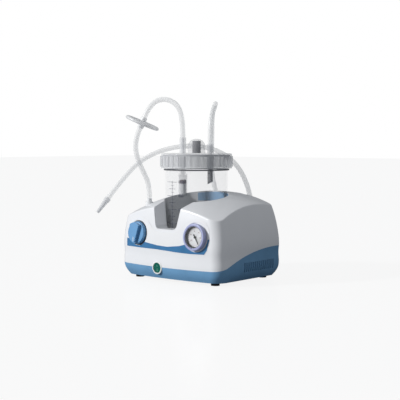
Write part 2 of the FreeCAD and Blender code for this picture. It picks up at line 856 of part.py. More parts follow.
def collection_jar():
    """Clear jar: turned wall with a rounded bottom, a bead below the lid and a rim inside it."""
    jar = new_body("collection_jar")
    top = "well_floor + jar_height"
    inner = "jar_radius - jar_wall"
    rim = "lid_radius - rib_depth - lid_wall - lid_gap"
    section = [
        ("0", "well_floor"),
        ("jar_radius", "well_floor", "jar_bottom_round"),
        ("jar_radius", "lid_bottom - 4.5"),
        ("jar_radius + 1.4", "lid_bottom - 3.6"),
        ("jar_radius + 1.4", "lid_bottom - 1.6"),
        ("jar_radius", "lid_bottom - 0.7"),
        ("jar_radius", f"{top} - jar_rim_height"),
        (rim, f"{top} - jar_rim_height"),
        (rim, top),
        (inner, top),
        (inner, "well_floor + jar_floor", "jar_bottom_round - jar_wall"),
        ("0", "well_floor + jar_floor"),
    ]
    turned(jar, "jar_section", section)
    return node(jar, "0", "jar_axis_y")


def jar_lid():
    """Clear push-on lid: ribbed skirt, rounded top plate and two bored ports."""
    lid = new_body("jar_lid")
    skirt = "lid_radius - rib_depth"
    plate = "lid_top - lid_wall"
    section = [
        ("0", plate),
        (f"{skirt} - lid_wall", plate),
        (f"{skirt} - lid_wall", "lid_bottom"),
        (skirt, "lid_bottom"),
        (skirt, "lid_top", "lid_wall"),
        ("0", "lid_top"),
    ]
    turned(lid, "lid_section", section)
    rib = bar(f"{skirt} - 0.8", "lid_radius", "-(rib_width / 2)", "rib_width / 2")
    first = padded(lid, "rib", "XY_Plane", [rib], "lid_top - lid_bottom - 8", "lid_bottom + 3")
    DOC.recompute()
    repeated_round(lid, first, "rib_count")
    DOC.recompute()
    for side, name in (("-port_offset", "suction_port"), ("port_offset", "patient_port")):
        port = (side, "0", "port_radius")
        padded(lid, name, "XY_Plane", [port], f"{name}_height + 1", "lid_top - 1")
    bores = [("-port_offset", "0", "port_bore"), ("port_offset", "0", "port_bore")]
    padded(lid, "port_bores", "XY_Plane", bores, "rim_height", "lid_bottom", cut=True, back=True)
    return node(lid, "0", "jar_axis_y", "0", Rotation(Vector(0, 0, 1), amount("port_angle")))


def lid_gasket():
    """Flat rubber ring between the jar's rim and the lid's plate."""
    gasket = new_body("lid_gasket")
    outer = "lid_radius - rib_depth - lid_wall - lid_gap"
    section = bar(f"{outer} - gasket_width", outer, "well_floor + jar_height", "lid_top - lid_wall")
    turned(gasket, "gasket_section", section)
    return node(gasket, "0", "jar_axis_y")


def valve_dome():
    """Grey domed cap at the middle of the lid."""
    dome = new_body("valve_dome")
    section = [
        ("0", "lid_top"),
        ("dome_radius", "lid_top"),
        ("dome_radius", "lid_top + dome_height", "dome_radius - 1.5"),
        ("0", "lid_top + dome_height"),
    ]
    turned(dome, "dome_section", section)
    return node(dome, "0", "jar_axis_y")


def on_lid(thing, side):
    """Place a piece under the suction port (-1) or the patient port (+1)."""
    turn = Rotation(Vector(0, 0, 1), amount("port_angle"))
    x = f"{side} * port_offset * cos(port_angle)"
    y = f"jar_axis_y + {side} * port_offset * sin(port_angle)"
    return node(thing, x, y, "0", turn)


def float_cage():
    """Clear cage of the overflow valve: stem, seat and a windowed cup for the float."""
    cage = new_body("float_cage")
    inner = "cage_radius - cage_wall"
    plate = "lid_top - lid_wall"
    section = [
        ("port_bore", plate),
        ("port_bore", "seat_height"),
        (inner, "seat_height"),
        (inner, "cage_bottom + cage_wall"),
        ("port_bore", "cage_bottom + cage_wall"),
        ("port_bore", "cage_bottom"),
        ("cage_radius", "cage_bottom"),
        ("cage_radius", "seat_height + 3"),
        ("port_radius", "seat_height + 3"),
        ("port_radius", plate),
    ]
    turned(cage, "cage_section", section)
    opening = bar("0", "cage_radius + 1", "-2.2", "2.2")
    height = "float_height * 0.8"
    low = "cage_bottom + cage_wall * 4"
    first = padded(cage, "window", "XY_Plane", [opening], height, low, cut=True, back=True)
    DOC.recompute()
    repeated_round(cage, first, "4")
    return on_lid(cage, "-1")


def overflow_float():
    """Float that closes the suction port when the jar is full."""
    floater = new_body("overflow_float")
    low = "seat_height - float_travel - float_seal_height - float_height"
    section = [
        ("0", low),
        ("float_radius", low, "3"),
        ("float_radius", f"{low} + float_height"),
        ("0", f"{low} + float_height"),
    ]
    turned(floater, "float_section", section)
    return on_lid(floater, "-1")


def float_seal():
    """Dark rubber seal on top of the float."""
    seal = new_body("float_seal")
    low = "seat_height - float_travel - float_seal_height"
    section = [
        ("0", low),
        ("float_radius + 1", low),
        ("float_radius + 1", "seat_height - float_travel", "1.5"),
        ("0", "seat_height - float_travel"),
    ]
    turned(seal, "seal_section", section)
    return on_lid(seal, "-1")


def drop_tube():
    """Short inlet pipe under the patient port, cut off at a slant."""
    pipe = new_body("drop_tube")
    plate = "lid_top - lid_wall"
    section = bar("drop_radius - cage_wall", "drop_radius", "drop_bottom", plate)
    turned(pipe, "pipe_section", section)
    slant = [
        ("-drop_radius - 1", "drop_bottom - 1"),
        ("drop_radius + 1", "drop_bottom - 1"),
        ("drop_radius + 1", "drop_bottom + drop_radius"),
    ]
    padded(pipe, "slant", "XZ_Plane", [slant], "drop_radius * 4", cut=True, middle=True)
    return on_lid(pipe, "1")


def on_front(thing, x):
    """Place a piece on the leaning axis of one of the front controls."""
    return node(thing, x, "control_y", "control_z", front_facing())


def control_knob():
    """Blue regulator knob: round skirt with a broad grip blade that narrows downward."""
    knob = new_body("control_knob")
    section = [
        ("0", "knob_lift"),
        ("knob_radius", "knob_lift"),
        ("knob_radius - 0.8", "knob_depth", "2"),
        ("0", "knob_depth"),
    ]
    turned(knob, "knob_section", section)
    blade = [
        ("-blade_half_width", "knob_radius - blade_shoulder", "4"),
        ("-blade_tip_half", "-(knob_radius - blade_tip_inset)", "2.6"),
        ("blade_tip_half", "-(knob_radius - blade_tip_inset)", "2.6"),
        ("blade_half_width", "knob_radius - blade_shoulder", "4"),
        ("0", "knob_radius - blade_shoulder / 4", "9"),
    ]
    padded(knob, "blade", "XY_Plane", [blade], "blade_rise + 1", "knob_depth - 1")
    hole = ("0", "0", "stem_radius + running_gap")
    depth = "knob_depth - stem_socket_floor - knob_lift"
    padded(knob, "stem_hole", "XY_Plane", [hole], depth, "knob_lift", cut=True, back=True)
    return on_front(knob, "knob_x")


def knob_collar():
    """Black ring on the front wall that the knob turns over."""
    collar = new_body("knob_collar")
    section = [
        ("stem_radius * 2", "seat_gap"),
        ("collar_radius", "seat_gap"),
        ("collar_radius", "collar_height", "0.8"),
        ("stem_radius * 2", "collar_height"),
    ]
    turned(collar, "collar_section", section)
    return on_front(collar, "knob_x")


def valve_stem():
    """Steel stem of the regulator, fixed in the knob."""
    stem = new_body("valve_stem")
    length = "knob_depth - stem_socket_floor + stem_reach"
    padded(stem, "stem", "XY_Plane", [("0", "0", "stem_radius")], length, "-stem_reach")
    return on_front(stem, "knob_x")


def regulator_body():
    """Vacuum regulator behind the front wall, with its threaded neck and two hose nipples."""
    valve = new_body("regulator_body")
    bore = "stem_radius + running_gap"
    neck = "stem_radius * 2 - running_gap"
    section = [
        (bore, "0"),
        (neck, "0"),
        (neck, "-9.5"),
        ("11", "-9.5"),
        ("11", "-30", "1.5"),
        ("0", "-30"),
        ("0", "-(stem_reach + 1)"),
        (bore, "-(stem_reach + 1)"),
    ]
    turned(valve, "valve_section", section)
    nipple = ("0", "-(24)", "hose_radius - 1")
    padded(valve, "down_nipple", "XZ_Plane", [nipple], "18")
    rear = ("0", "0", "hose_radius - 1")
    padded(valve, "rear_nipple", "XY_Plane", [rear], "8", "-37")
    return on_front(valve, "knob_x")


def gauge_case():
    """Vacuum gauge case: raised lavender bezel, lens step, dial seat and rear nipple."""
    case = new_body("gauge_case")
    section = [
        ("0", "-gauge_body_depth"),
        ("gauge_body_radius", "-gauge_body_depth"),
        ("gauge_body_radius", "seat_gap"),
        ("gauge_radius", "seat_gap"),
        ("gauge_radius", "gauge_rise", "1.8"),
        ("dial_radius + 1.2", "gauge_rise"),
        ("dial_radius + 1.2", "gauge_rise - 2"),
        ("dial_radius + 0.2", "gauge_rise - 2"),
        ("dial_radius + 0.2", "0"),
        ("spindle_radius + running_gap", "0"),
        ("spindle_radius + running_gap", "-6"),
        ("0", "-6"),
    ]
    turned(case, "case_section", section)
    nipple = ("0", "0", "hose_radius - 1")
    padded(case, "gauge_nipple", "XY_Plane", [nipple], "9", "-gauge_body_depth - 8")
    return on_front(case, "gauge_x")


def gauge_dial():
    """White dial plate with a hole for the needle's spindle."""
    dial = new_body("gauge_dial")
    hole = ("0", "0", "spindle_radius + running_gap")
    padded(dial, "plate", "XY_Plane", [("0", "0", "dial_radius"), hole], "0.8")
    return on_front(dial, "gauge_x")


def gauge_lens():
    """Clear window seated in the bezel's step."""
    lens = new_body("gauge_lens")
    outline = ("0", "0", "dial_radius + 1.1")
    padded(lens, "window", "XY_Plane", [outline], "1.2", "gauge_rise - 2")
    return on_front(lens, "gauge_x")


def gauge_needle():
    """Needle with its hub, tail and spindle."""
    needle = new_body("gauge_needle")
    blade = [
        ("-6", "-1.1"),
        ("0", "-1"),
        ("needle_length", "-0.35"),
        ("needle_length", "0.35"),
        ("0", "1"),
        ("-6", "1.1"),
    ]
    padded(needle, "blade", "XY_Plane", [blade], "0.7", "2")
    padded(needle, "hub", "XY_Plane", [("0", "0", "2.2")], "1.6", "1.6")
    padded(needle, "spindle", "XY_Plane", [("0", "0", "spindle_radius")], "7", "-5")
    turn = front_facing().multiply(Rotation(Vector(0, 0, 1), amount("needle_angle")))
    return node(needle, "gauge_x", "control_y", "control_z", turn)


def switch_housing():
    """White round switch frame with the body behind it."""
    frame = new_body("switch_housing")
    section = [
        ("0", "-20"),
        ("switch_radius - 1.6", "-20"),
        ("switch_radius - 1.6", "0"),
        ("switch_radius", "0"),
        ("switch_radius", "switch_rise", "1"),
        ("rocker_radius + rocker_gap", "switch_rise"),
        ("rocker_radius + rocker_gap", "-11"),
        ("0", "-11"),
    ]
    turned(frame, "frame_section", section)
    return node(frame, "switch_x", "switch_y", "switch_z", Rotation(Vector(1, 0, 0), 90))


def power_rocker():
    """Green round rocker, tilted to its off side, with its two stub pins."""
    rocker = new_body("power_rocker")
    section = [
        ("0", "-3.4"),
        ("rocker_radius - 1.4", "-3.4"),
        ("rocker_radius", "0"),
        ("rocker_radius - 0.3", "switch_rise - 1.2"),
        ("0", "switch_rise - 1.2"),
    ]
    turned(rocker, "rocker_section", section)
    turn = Rotation(Vector(1, 0, 0), 90.0 + amount("rocker_tilt"))
    return node(rocker, "switch_x", "switch_y", "switch_z", turn)


def on_rear(thing):
    """Place a piece of the mains inlet in the rear wall, facing backward."""
    turn = Rotation(Vector(0, 0, 1), Vector(0, 1, 0))
    return node(thing, "inlet_x", "housing_depth / 2 + wall_bulge", "inlet_z", turn)


def mains_inlet():
    """Mains inlet in the rear of the base: flange, recessed socket and three pins."""
    inlet = new_body("mains_inlet")
    wide, high = "inlet_width / 2", "inlet_height / 2"
    body_outline = bar(
        f"-({wide}) + seat_gap", f"{wide} - seat_gap", f"-({high}) + seat_gap", f"{high} - seat_gap"
    )
    padded(inlet, "inlet_body", "XY_Plane", [body_outline], "inlet_depth", "-inlet_depth")
    flange = bar(
        f"-({wide}) - inlet_flange",
        f"{wide} + inlet_flange",
        f"-({high}) - inlet_flange",
        f"{high} + inlet_flange",
    )
    padded(inlet, "inlet_rim", "XY_Plane", [flange], "inlet_rise", "0")
    side, low = f"{wide} - socket_wall", f"{high} - socket_wall"
    socket = [
        (f"-({side})", f"-({low})"),
        (side, f"-({low})"),
        (side, f"{high} - socket_chamfer"),
        (f"{wide} - socket_chamfer", low),
        (f"-({wide} - socket_chamfer)", low),
        (f"-({side})", f"{high} - socket_chamfer"),
    ]
    padded(inlet, "socket", "XY_Plane", [socket], "inlet_depth - 4", "inlet_rise", cut=True)
    return on_rear(inlet)


def inlet_pins():
    """Three flat contact pins in the mains inlet."""
    pins = new_body("inlet_pins")
    outlines = []
    for x, y in (("-pin_spread", "-pin_drop"), ("pin_spread", "-pin_drop"), ("0", "pin_drop")):
        outlines.append(
            bar(
                f"{x} - pin_half_width",
                f"{x} + pin_half_width",
                f"{y} - pin_half_height",
                f"{y} + pin_half_height",
            )
        )
    padded(pins, "pins", "XY_Plane", outlines, "inlet_depth - 8", "-inlet_depth + 4 + inlet_rise")
    return on_rear(pins)


def vacuum_port():
    """Nipple on top of the casing that takes the suction tube, with a hose tail inside."""
    port = new_body("vacuum_port")
    tail = "hose_radius - 1"
    section = [
        ("1.2", "nipple_seat - 20"),
        (tail, "nipple_seat - 20"),
        (tail, "nipple_seat - 12"),
        ("port_radius + 1", "nipple_seat - 12"),
        ("port_radius + 1", "nipple_seat + 4", "1"),
        ("tube_radius", "nipple_seat + 4"),
        ("tube_radius", "nipple_top"),
        ("1.2", "nipple_top"),
    ]
    turned(port, "port_section", section)
    return node(port, "nipple_x", "nipple_y")


ALONG_Y = Rotation(Vector(1, 0, 0), -90)


def motor_can():
    """Motor case with bearing bores in both ends and a flat foot."""
    can = new_body("motor_can")
    bearing = "shaft_radius + running_gap"
    section = [
        (bearing, "0"),
        ("motor_radius", "0", "2"),
        ("motor_radius", "motor_length", "2"),
        (bearing, "motor_length"),
        (bearing, "motor_length - casing_wall"),
        ("motor_radius * 0.7", "motor_length - casing_wall"),
        ("motor_radius * 0.7", "casing_wall"),
        (bearing, "casing_wall"),
    ]
    turned(can, "can_section", section)
    foot = bar("-14", "14", "motor_radius - 4", "motor_z - plate_bottom - plate_thickness")
    padded(can, "can_foot", "XY_Plane", [foot], "motor_length - 12", "6")
    return node(can, "pump_x", "motor_front_y", "motor_z", ALONG_Y)


def motor_rotor():
    """Armature and shaft; the front end of the shaft carries the crank."""
    rotor = new_body("motor_rotor")
    armature = "motor_radius * 0.7 - 0.6"
    section = [
        ("0", "-motor_front_y + 1"),
        ("shaft_radius", "-motor_front_y + 1"),
        ("shaft_radius", "casing_wall + 1"),
        (armature, "casing_wall + 1"),
        (armature, "motor_length - casing_wall - 1"),
        ("shaft_radius", "motor_length - casing_wall - 1"),
        ("shaft_radius", "motor_length + 8"),
        ("0", "motor_length + 8"),
    ]
    turned(rotor, "rotor_section", section)
    return node(rotor, "pump_x", "motor_front_y", "motor_z", ALONG_Y)


def cooling_fan():
    """Six-bladed fan on the rear end of the motor shaft."""
    fan = new_body("cooling_fan")
    hub = bar("shaft_radius + running_gap", "fan_hub", "0", "fan_width")
    turned(fan, "hub_section", hub)
    blade = bar("fan_hub - 1", "fan_radius", "-0.8", "0.8")
    first = padded(fan, "blade", "XY_Plane", [blade], "fan_width")
    DOC.recompute()
    repeated_round(fan, first, "fan_blades")
    return node(fan, "pump_x", "motor_front_y + motor_length + 1", "motor_z", ALONG_Y)


def crank():
    """Crank web on the shaft with its offset pin."""
    web = new_body("crank")
    padded(web, "web", "XZ_Plane", [("0", "0", "crank_radius * 2")], "4", "-1", back=True)
    padded(web, "pin", "XZ_Plane", [("0", "crank_throw", "crank_radius")], "11", "-1.5")
    padded(web, "bore", "XZ_Plane", [("0", "0", "shaft_radius + running_gap")], "8", "-1", cut=True)
    return node(web, "pump_x", "0", "motor_z")


def crankcase():
    """Pump body: square case open at the front, bearing wall behind, bore on top."""
    case = new_body("crankcase")
    low = "plate_bottom + plate_thickness"
    outer = bar("-case_half_width", "case_half_width", low, "case_top")
    padded(case, "case_block", "XZ_Plane", [outer], "case_length", "-case_rear")
    inner = "case_half_width - case_wall"
    hollow = bar(f"-({inner})", inner, f"{low} + 3", "case_top - 3")
    rear = "-case_rear + 3"
    padded(case, "case_room", "XZ_Plane", [hollow], "case_length * 2", rear, cut=True, back=True)
    shaft = ("0", "motor_z", "shaft_radius + running_gap")
    far = "-case_rear * 2"
    padded(case, "shaft_way", "XZ_Plane", [shaft], "case_length * 2", far, cut=True, back=True)
    bore = ("0", "pump_axis_y", "cylinder_bore")
    padded(case, "cylinder_way", "XY_Plane", [bore], "20", "case_top - 10", cut=True, back=True)
    return node(case, "pump_x")


def pump_cylinder():
    """Finned cylinder on top of the pump body."""
    sleeve = new_body("pump_cylinder")
    outline = [("cylinder_bore", "case_top"), ("cylinder_radius", "case_top")]
    for fin in range(1, 5):
        low = f"case_top + fin_pitch * {fin}"
        high = f"{low} + fin_thickness"
        outline += [("cylinder_radius", low), ("fin_radius", low)]
        outline += [("fin_radius", high), ("cylinder_radius", high)]
    outline += [("cylinder_radius", "cylinder_top"), ("cylinder_bore", "cylinder_top")]
    turned(sleeve, "sleeve_section", outline)
    return node(sleeve, "pump_x", "pump_axis_y")


def cylinder_head():
    """Head with the suction nipple facing forward."""
    head = new_body("cylinder_head")
    top = "cylinder_top + head_height"
    section = [
        ("0", "cylinder_top"),
        ("fin_radius", "cylinder_top"),
        ("fin_radius", top, "2"),
        ("0", top),
    ]
    turned(head, "head_section", section)
    nipple = ("0", f"{top} - head_nipple_drop", "hose_radius - 1")
    padded(head, "suction_nipple", "XZ_Plane", [nipple], "28", "0")
    return node(head, "pump_x", "pump_axis_y")


def pump_piston():
    """Piston with its rod and the big end that runs round the crank pin."""
    piston = new_body("pump_piston")
    crown = bar("0", "cylinder_bore - running_gap", "case_top + 14", "case_top + 20")
    turned(piston, "crown_section", crown)
    big_end = "crank_radius + crank_throw * 2 + 0.3"
    rod = bar("-4", "4", "motor_z + crank_radius + crank_throw * 2", "case_top + 16")
    padded(piston, "rod", "XZ_Plane", [rod], "7", "-3.5")
    padded(piston, "big_end", "XZ_Plane", [("0", "motor_z", f"{big_end} + 2.4")], "7", "-3.5")
    way = ("0", "motor_z", big_end)
    padded(piston, "pin_way", "XZ_Plane", [way], "20", "-10", cut=True, back=True)
    return node(piston, "pump_x", "pump_axis_y")


PLATE_RIGHT = "(housing_width / 2 - casing_wall - base_tuck - plate_clearance - pump_x)"


def pump_plate():
    """Steel plate that carries the motor and the pump body."""
    plate = new_body("pump_plate")
    outline = bar("-plate_half_width", PLATE_RIGHT, "plate_front", "plate_rear")
    padded(plate, "plate", "XY_Plane", [outline], "plate_thickness", "plate_bottom")
    return node(plate, "pump_x")


def pump_mounts():
    """Four rubber mounts between the pump plate and the floor of the base."""
    mounts = new_body("pump_mounts")
    rings = []
    for x in ("-plate_half_width + mount_inset", f"{PLATE_RIGHT} - mount_inset"):
        rings.append((x, "plate_front + mount_inset + 2", "mount_radius"))
        rings.append((x, "plate_rear - mount_inset", "mount_radius"))
    low = "base_height + casing_wall"
    padded(mounts, "mounts", "XY_Plane", rings, f"plate_bottom - ({low})", low)
    return node(mounts, "pump_x")


CORNER_SHARE = 0.45


def soft_path(spots):
    """Straight runs joined by tangent arcs, each as large as its shorter run allows."""
    edges, radii = [], []
    start = spots[0]
    for before, spot, after in zip(spots, spots[1:], spots[2:]):
        into, out = (spot - before), (after - spot)
        turn = into.getAngle(out)
        setback = CORNER_SHARE * min(into.Length, out.Length)
        radius = setback / math.tan(turn / 2)
        into.normalize()
        out.normalize()
        first, last = spot - into * setback, spot + out * setback
        middle = spot + (out - into).normalize() * (radius / math.cos(turn / 2) - radius)
        edges.append(Part.LineSegment(start, first).toShape())
        edges.append(Part.Arc(first, middle, last).toShape())
        radii.append(round(radius))
        start = last
    edges.append(Part.LineSegment(start, spots[-1]).toShape())
    return Part.Wire(edges), radii


def tube(label, route, radius):
    """Plain round tube along a route of (x, y, z) formulas."""
    spots = [Vector(*(amount(value) for value in spot)) for spot in route]
    path, radii = soft_path(spots)
    ring_wire = Part.Wire([Part.makeCircle(amount(radius), spots[0], spots[1] - spots[0])])
    solid = path.makePipeShell([ring_wire], True, False)
    expected = math.pi * amount(radius) ** 2 * path.Length
    if abs(solid.Volume / expected - 1) > 0.01:
        raise RuntimeError(f"{label}: volume is off by {solid.Volume / expected - 1:.1%}")
    print(f"{label}: {path.Length:.0f} mm long, radii {radii}")
    thing = DOC.addObject("Part::Feature", label)
    thing.Label = label
    thing.Shape = solid
    return node(thing)


SUCTION_PORT = (
    "-port_offset * cos(port_angle)",
    "jar_axis_y - port_offset * sin(port_angle)",
    "lid_top + suction_port_height",
)
PATIENT_PORT = (
    "port_offset * cos(port_angle)",
    "jar_axis_y + port_offset * sin(port_angle)",
    "lid_top + patient_port_height",
)
FILTER_IN = (-84, -63.5, 305.5)
FILTER_OUT = (-91, -68, 286)


def in_line(first, last, distance):
    """Point past the last one, on the straight line from the first."""
    step = (Vector(*last) - Vector(*first)).normalize() * distance
    return tuple(Vector(*last) + step)


SUCTION_ROUTE_UPPER = [
    SUCTION_PORT,
    (SUCTION_PORT[0], SUCTION_PORT[1], 303),
    (-30, -30, 333),
    (-54, -44, 343),
    in_line(FILTER_OUT, FILTER_IN, 27),
    FILTER_IN,
]
SUCTION_ROUTE_LOWER = [
    FILTER_OUT,
    in_line(FILTER_IN, FILTER_OUT, 28),
    (-99, -68, 227),
    (-91, -58, 200),
    ("nipple_x", "nipple_y", 176),
    ("nipple_x", "nipple_y", "nipple_top"),
]
PATIENT_ROUTE = [
    PATIENT_PORT,
    (PATIENT_PORT[0], PATIENT_PORT[1], 284),
    (18, 16, 312),
    (10, 37, 333),
    (-10, 60, 334),
    (-22, 79, 315),
    (-33, 92, 280),
    (-44, 104, 240),
    (-51, 113, 192),
    (-52, 118, 146),
    (-47, 121, 110),
    (-38, 120, 76),
    (-12, 122, 60),
    (16, 124, 66),
    (34, 123, 93),
    (33, 123, 132),
    (29, 116, 170),
    (17, 105, 206),
    (-4, 88, 234),
    (-36, 65, 250),
    (-72, 35, 252),
    (-104, 5, 243),
    (-130, -24, 224),
    (-151, -50, 192),
    (-172, -75, 149),
]
CONNECTOR_TIP = in_line(PATIENT_ROUTE[-2], PATIENT_ROUTE[-1], 35.5)


def along(first, last):
    """Rotation that turns +Z into the direction from one point to another."""
    return Rotation(Vector(0, 0, 1), Vector(*last) - Vector(*first))


def bacteria_filter():
    """Disc filter in the suction line, with a hub on each face."""
    housing = new_body("bacteria_filter")
    length = (Vector(*FILTER_OUT) - Vector(*FILTER_IN)).Length
    half = length / 2
    section = [
        ("0", "0"),
        ("tube_radius + 1", "0"),
        ("tube_radius + filter_hub_rise", f"{half} - filter_width / 2"),
        ("filter_radius - filter_rim", f"{half} - filter_width / 2 + 1"),
        ("filter_radius", f"{half} - 1"),
        ("filter_radius", f"{half} + 1"),
        ("filter_radius - filter_rim", f"{half} + filter_width / 2 - 1"),
        ("tube_radius + filter_hub_rise", f"{half} + filter_width / 2"),
        ("tube_radius + 1", f"{length}"),
        ("0", f"{length}"),
    ]
    turned(housing, "filter_section", section)
    return node(housing, *(str(value) for value in FILTER_IN), along(FILTER_IN, FILTER_OUT))


def tube_connector():
    """Conical connector at the free end of the patient tube."""
    cone = new_body("tube_connector")
    end = PATIENT_ROUTE[-1]
    length = (Vector(*CONNECTOR_TIP) - Vector(*end)).Length
    section = [
        ("0", "0"),
        ("tube_radius + 1.4", "0"),
        ("tube_radius + 1.4", "7"),
        ("tube_radius + 0.4", "8"),
        ("tube_radius - 1.6", f"{length}"),
        ("0", f"{length}"),
    ]
    turned(cone, "cone_section", section)
    return node(cone, *(str(value) for value in end), along(end, CONNECTOR_TIP))


PORT_ROUTE = [
    ("nipple_x", "nipple_y", "nipple_seat - 20"),
    ("nipple_x", "nipple_y", "nipple_seat - 35"),
    (-91, -36, 90),
    (-104, -17, 81),
    (-107, 4, 76),
    (-94, 20, 74),
    (-77, 16, 75),
    (-71.5, -3, 78),
    ("knob_x", -20, 81),
    ("knob_x", "control_y + 55 * cos(front_tilt)", "control_z - 55 * sin(front_tilt)"),
    ("knob_x", "control_y + 37 * cos(front_tilt)", "control_z - 37 * sin(front_tilt)"),
]
PUMP_ROUTE = [
    ("pump_x", "pump_axis_y - 28", "cylinder_top + head_height - head_nipple_drop"),
    ("pump_x", -49, "cylinder_top + head_height - head_nipple_drop"),
    (86, -61, 82),
    (80, -66, 62),
    (60, -74, 47),
    (28, -81, 43),
    (-4, -83, 41),
    (-36, -82, 40),
    (-61, -78, 40),
    (
        "knob_x",
        "control_y + 24 * cos(front_tilt) - 34 * sin(front_tilt)",
        "control_z - 24 * sin(front_tilt) - 34 * cos(front_tilt)",
    ),
    (
        "knob_x",
        "control_y + 24 * cos(front_tilt) - 18 * sin(front_tilt)",
        "control_z - 24 * sin(front_tilt) - 18 * cos(front_tilt)",
    ),
]


def write_nodes():
    """Check every object, then write each node's solid to its own file."""
    DOC.recompute()
    for thing in DOC.Objects:
        if "Invalid" in thing.State or "Error" in thing.State:
            raise RuntimeError(f"{thing.Name} failed: {thing.State}")
    os.makedirs("parts", exist_ok=True)
    for thing in NODES:
        if thing.Shape.isNull() or not thing.Shape.isValid():
            raise RuntimeError(f"{thing.Label} has no valid shape")
        thing.Shape.exportStep(f"parts/{thing.Label}.step")
        box = thing.Shape.optimalBoundingBox(True, False)
        print(f"{thing.Label}: {len(thing.Shape.Solids)} solids, {thing.Shape.Volume:.0f} mm3,", box)


def build():
    """Make every piece, bodies first, then the tubes."""
    fill_sheet()
    blank = housing_form("housing_blank", "0")
    round_top_edge(blank)
    shell = boolean("Cut", "hollow_housing", blank, housing_cavity())
    seam = under_seam("below_seam")
    upper_casing(shell, seam)
    base_tray(shell, seam)
    rear_handle(blank)
    for make in (
        rubber_feet,
        casing_screws,
        collection_jar,
        jar_lid,
        lid_gasket,
        valve_dome,
        float_cage,
        overflow_float,
        float_seal,
        drop_tube,
        control_knob,
        knob_collar,
        valve_stem,
        regulator_body,
        gauge_case,
        gauge_dial,
        gauge_lens,
        gauge_needle,
        switch_housing,
        power_rocker,
        mains_inlet,
        inlet_pins,
        vacuum_port,
        motor_can,
        motor_rotor,
        cooling_fan,
        crank,
        crankcase,
        pump_cylinder,
        cylinder_head,
        pump_piston,
        pump_plate,
        pump_mounts,
        bacteria_filter,
        tube_connector,
    ):
        make()
    tube("suction_tube_upper", SUCTION_ROUTE_UPPER, "tube_radius")
    tube("suction_tube_lower", SUCTION_ROUTE_LOWER, "tube_radius")
    tube("patient_tube", PATIENT_ROUTE, "tube_radius")
    tube("port_hose", PORT_ROUTE, "hose_radius")
    tube("pump_hose", PUMP_ROUTE, "hose_radius")
    write_nodes()


build()
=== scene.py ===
"""Looks of the tabletop suction aspirator: finishes, label, gauge face, jar scale and tubes.

Every piece is in metres in the part's frame: +Z up, the front facing -Y, the feet on z = 0.
Places taken over from the construction are in millimetres, and sunk() or MILLIMETRE turns them
into metres.
"""
from __future__ import annotations

import json
import logging
import math
from collections.abc import Callable, Iterator
from contextlib import contextmanager
from dataclasses import dataclass
from enum import Enum

import bpy
from mathutils import Matrix, Vector

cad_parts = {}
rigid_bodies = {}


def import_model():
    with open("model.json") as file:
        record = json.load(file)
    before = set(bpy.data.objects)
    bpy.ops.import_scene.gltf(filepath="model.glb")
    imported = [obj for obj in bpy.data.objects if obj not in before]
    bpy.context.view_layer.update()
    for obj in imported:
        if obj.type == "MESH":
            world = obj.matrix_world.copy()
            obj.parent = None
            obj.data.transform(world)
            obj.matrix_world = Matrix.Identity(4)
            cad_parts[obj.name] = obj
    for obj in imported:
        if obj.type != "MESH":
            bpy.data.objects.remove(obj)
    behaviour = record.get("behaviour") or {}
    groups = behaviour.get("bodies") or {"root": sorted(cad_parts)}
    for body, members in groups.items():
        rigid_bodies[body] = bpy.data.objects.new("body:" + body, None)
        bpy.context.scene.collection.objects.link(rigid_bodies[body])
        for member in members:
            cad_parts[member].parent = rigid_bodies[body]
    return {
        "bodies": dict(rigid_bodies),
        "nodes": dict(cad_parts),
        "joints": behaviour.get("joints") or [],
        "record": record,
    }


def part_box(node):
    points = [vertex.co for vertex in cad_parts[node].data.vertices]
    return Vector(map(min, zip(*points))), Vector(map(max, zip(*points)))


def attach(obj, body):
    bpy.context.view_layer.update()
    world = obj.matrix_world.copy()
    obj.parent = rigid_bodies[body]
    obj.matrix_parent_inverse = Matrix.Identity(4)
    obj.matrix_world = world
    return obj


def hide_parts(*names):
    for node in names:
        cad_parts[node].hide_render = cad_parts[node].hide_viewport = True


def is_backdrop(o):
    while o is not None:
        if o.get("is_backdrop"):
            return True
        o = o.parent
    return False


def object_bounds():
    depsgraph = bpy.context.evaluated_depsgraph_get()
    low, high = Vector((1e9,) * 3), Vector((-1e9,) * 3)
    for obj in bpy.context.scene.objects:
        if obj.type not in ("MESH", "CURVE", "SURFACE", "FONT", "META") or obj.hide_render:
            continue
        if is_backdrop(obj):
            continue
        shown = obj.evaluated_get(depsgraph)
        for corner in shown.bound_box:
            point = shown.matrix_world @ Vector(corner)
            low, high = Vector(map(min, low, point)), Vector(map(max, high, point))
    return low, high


LOG = logging.getLogger("aspirator")

Point = tuple[float, float, float]
Colour = tuple[float, float, float]

# Sizes are in metres. A spread is a pair of shares, and the other values have no unit.
MILLIMETRE = 0.001
FINE = 0.000004
STROKE_ROUND = 0.3
FULL_WHITE = (1.0, 1.0, 1.0, 1.0)
BLOTCH = 0.03
BLOTCH_DETAIL = 3.0
BLOTCH_SPREAD = (0.3, 0.7)
PATCH = 0.012
GRAIN_DETAIL = 2.0
ROUGHNESS_SPREAD = (0.85, 1.2)
BRUSHED_STRETCH = 12.0
BUMP_STRENGTH = 0.6
COAT_ROUGHNESS = 0.08


class Body(Enum):
    """Rigid bodies that the pieces made here ride on."""

    HOUSING = "housing"
    JAR = "jar"
    LID = "lid"
    KNOB = "knob"
    NEEDLE = "needle"
    ROCKER = "rocker"


class Slot(Enum):
    """Material slots of the record, handed along with the pieces made here."""

    CASING = "white_casing"
    BASE = "blue_base"
    DIAL = "dial_white"
    NEEDLE = "needle_black"
    WHITE = "switch_white"
    DOME = "grey_dome"
    TUBE = "silicone_tube"


# --- finishes


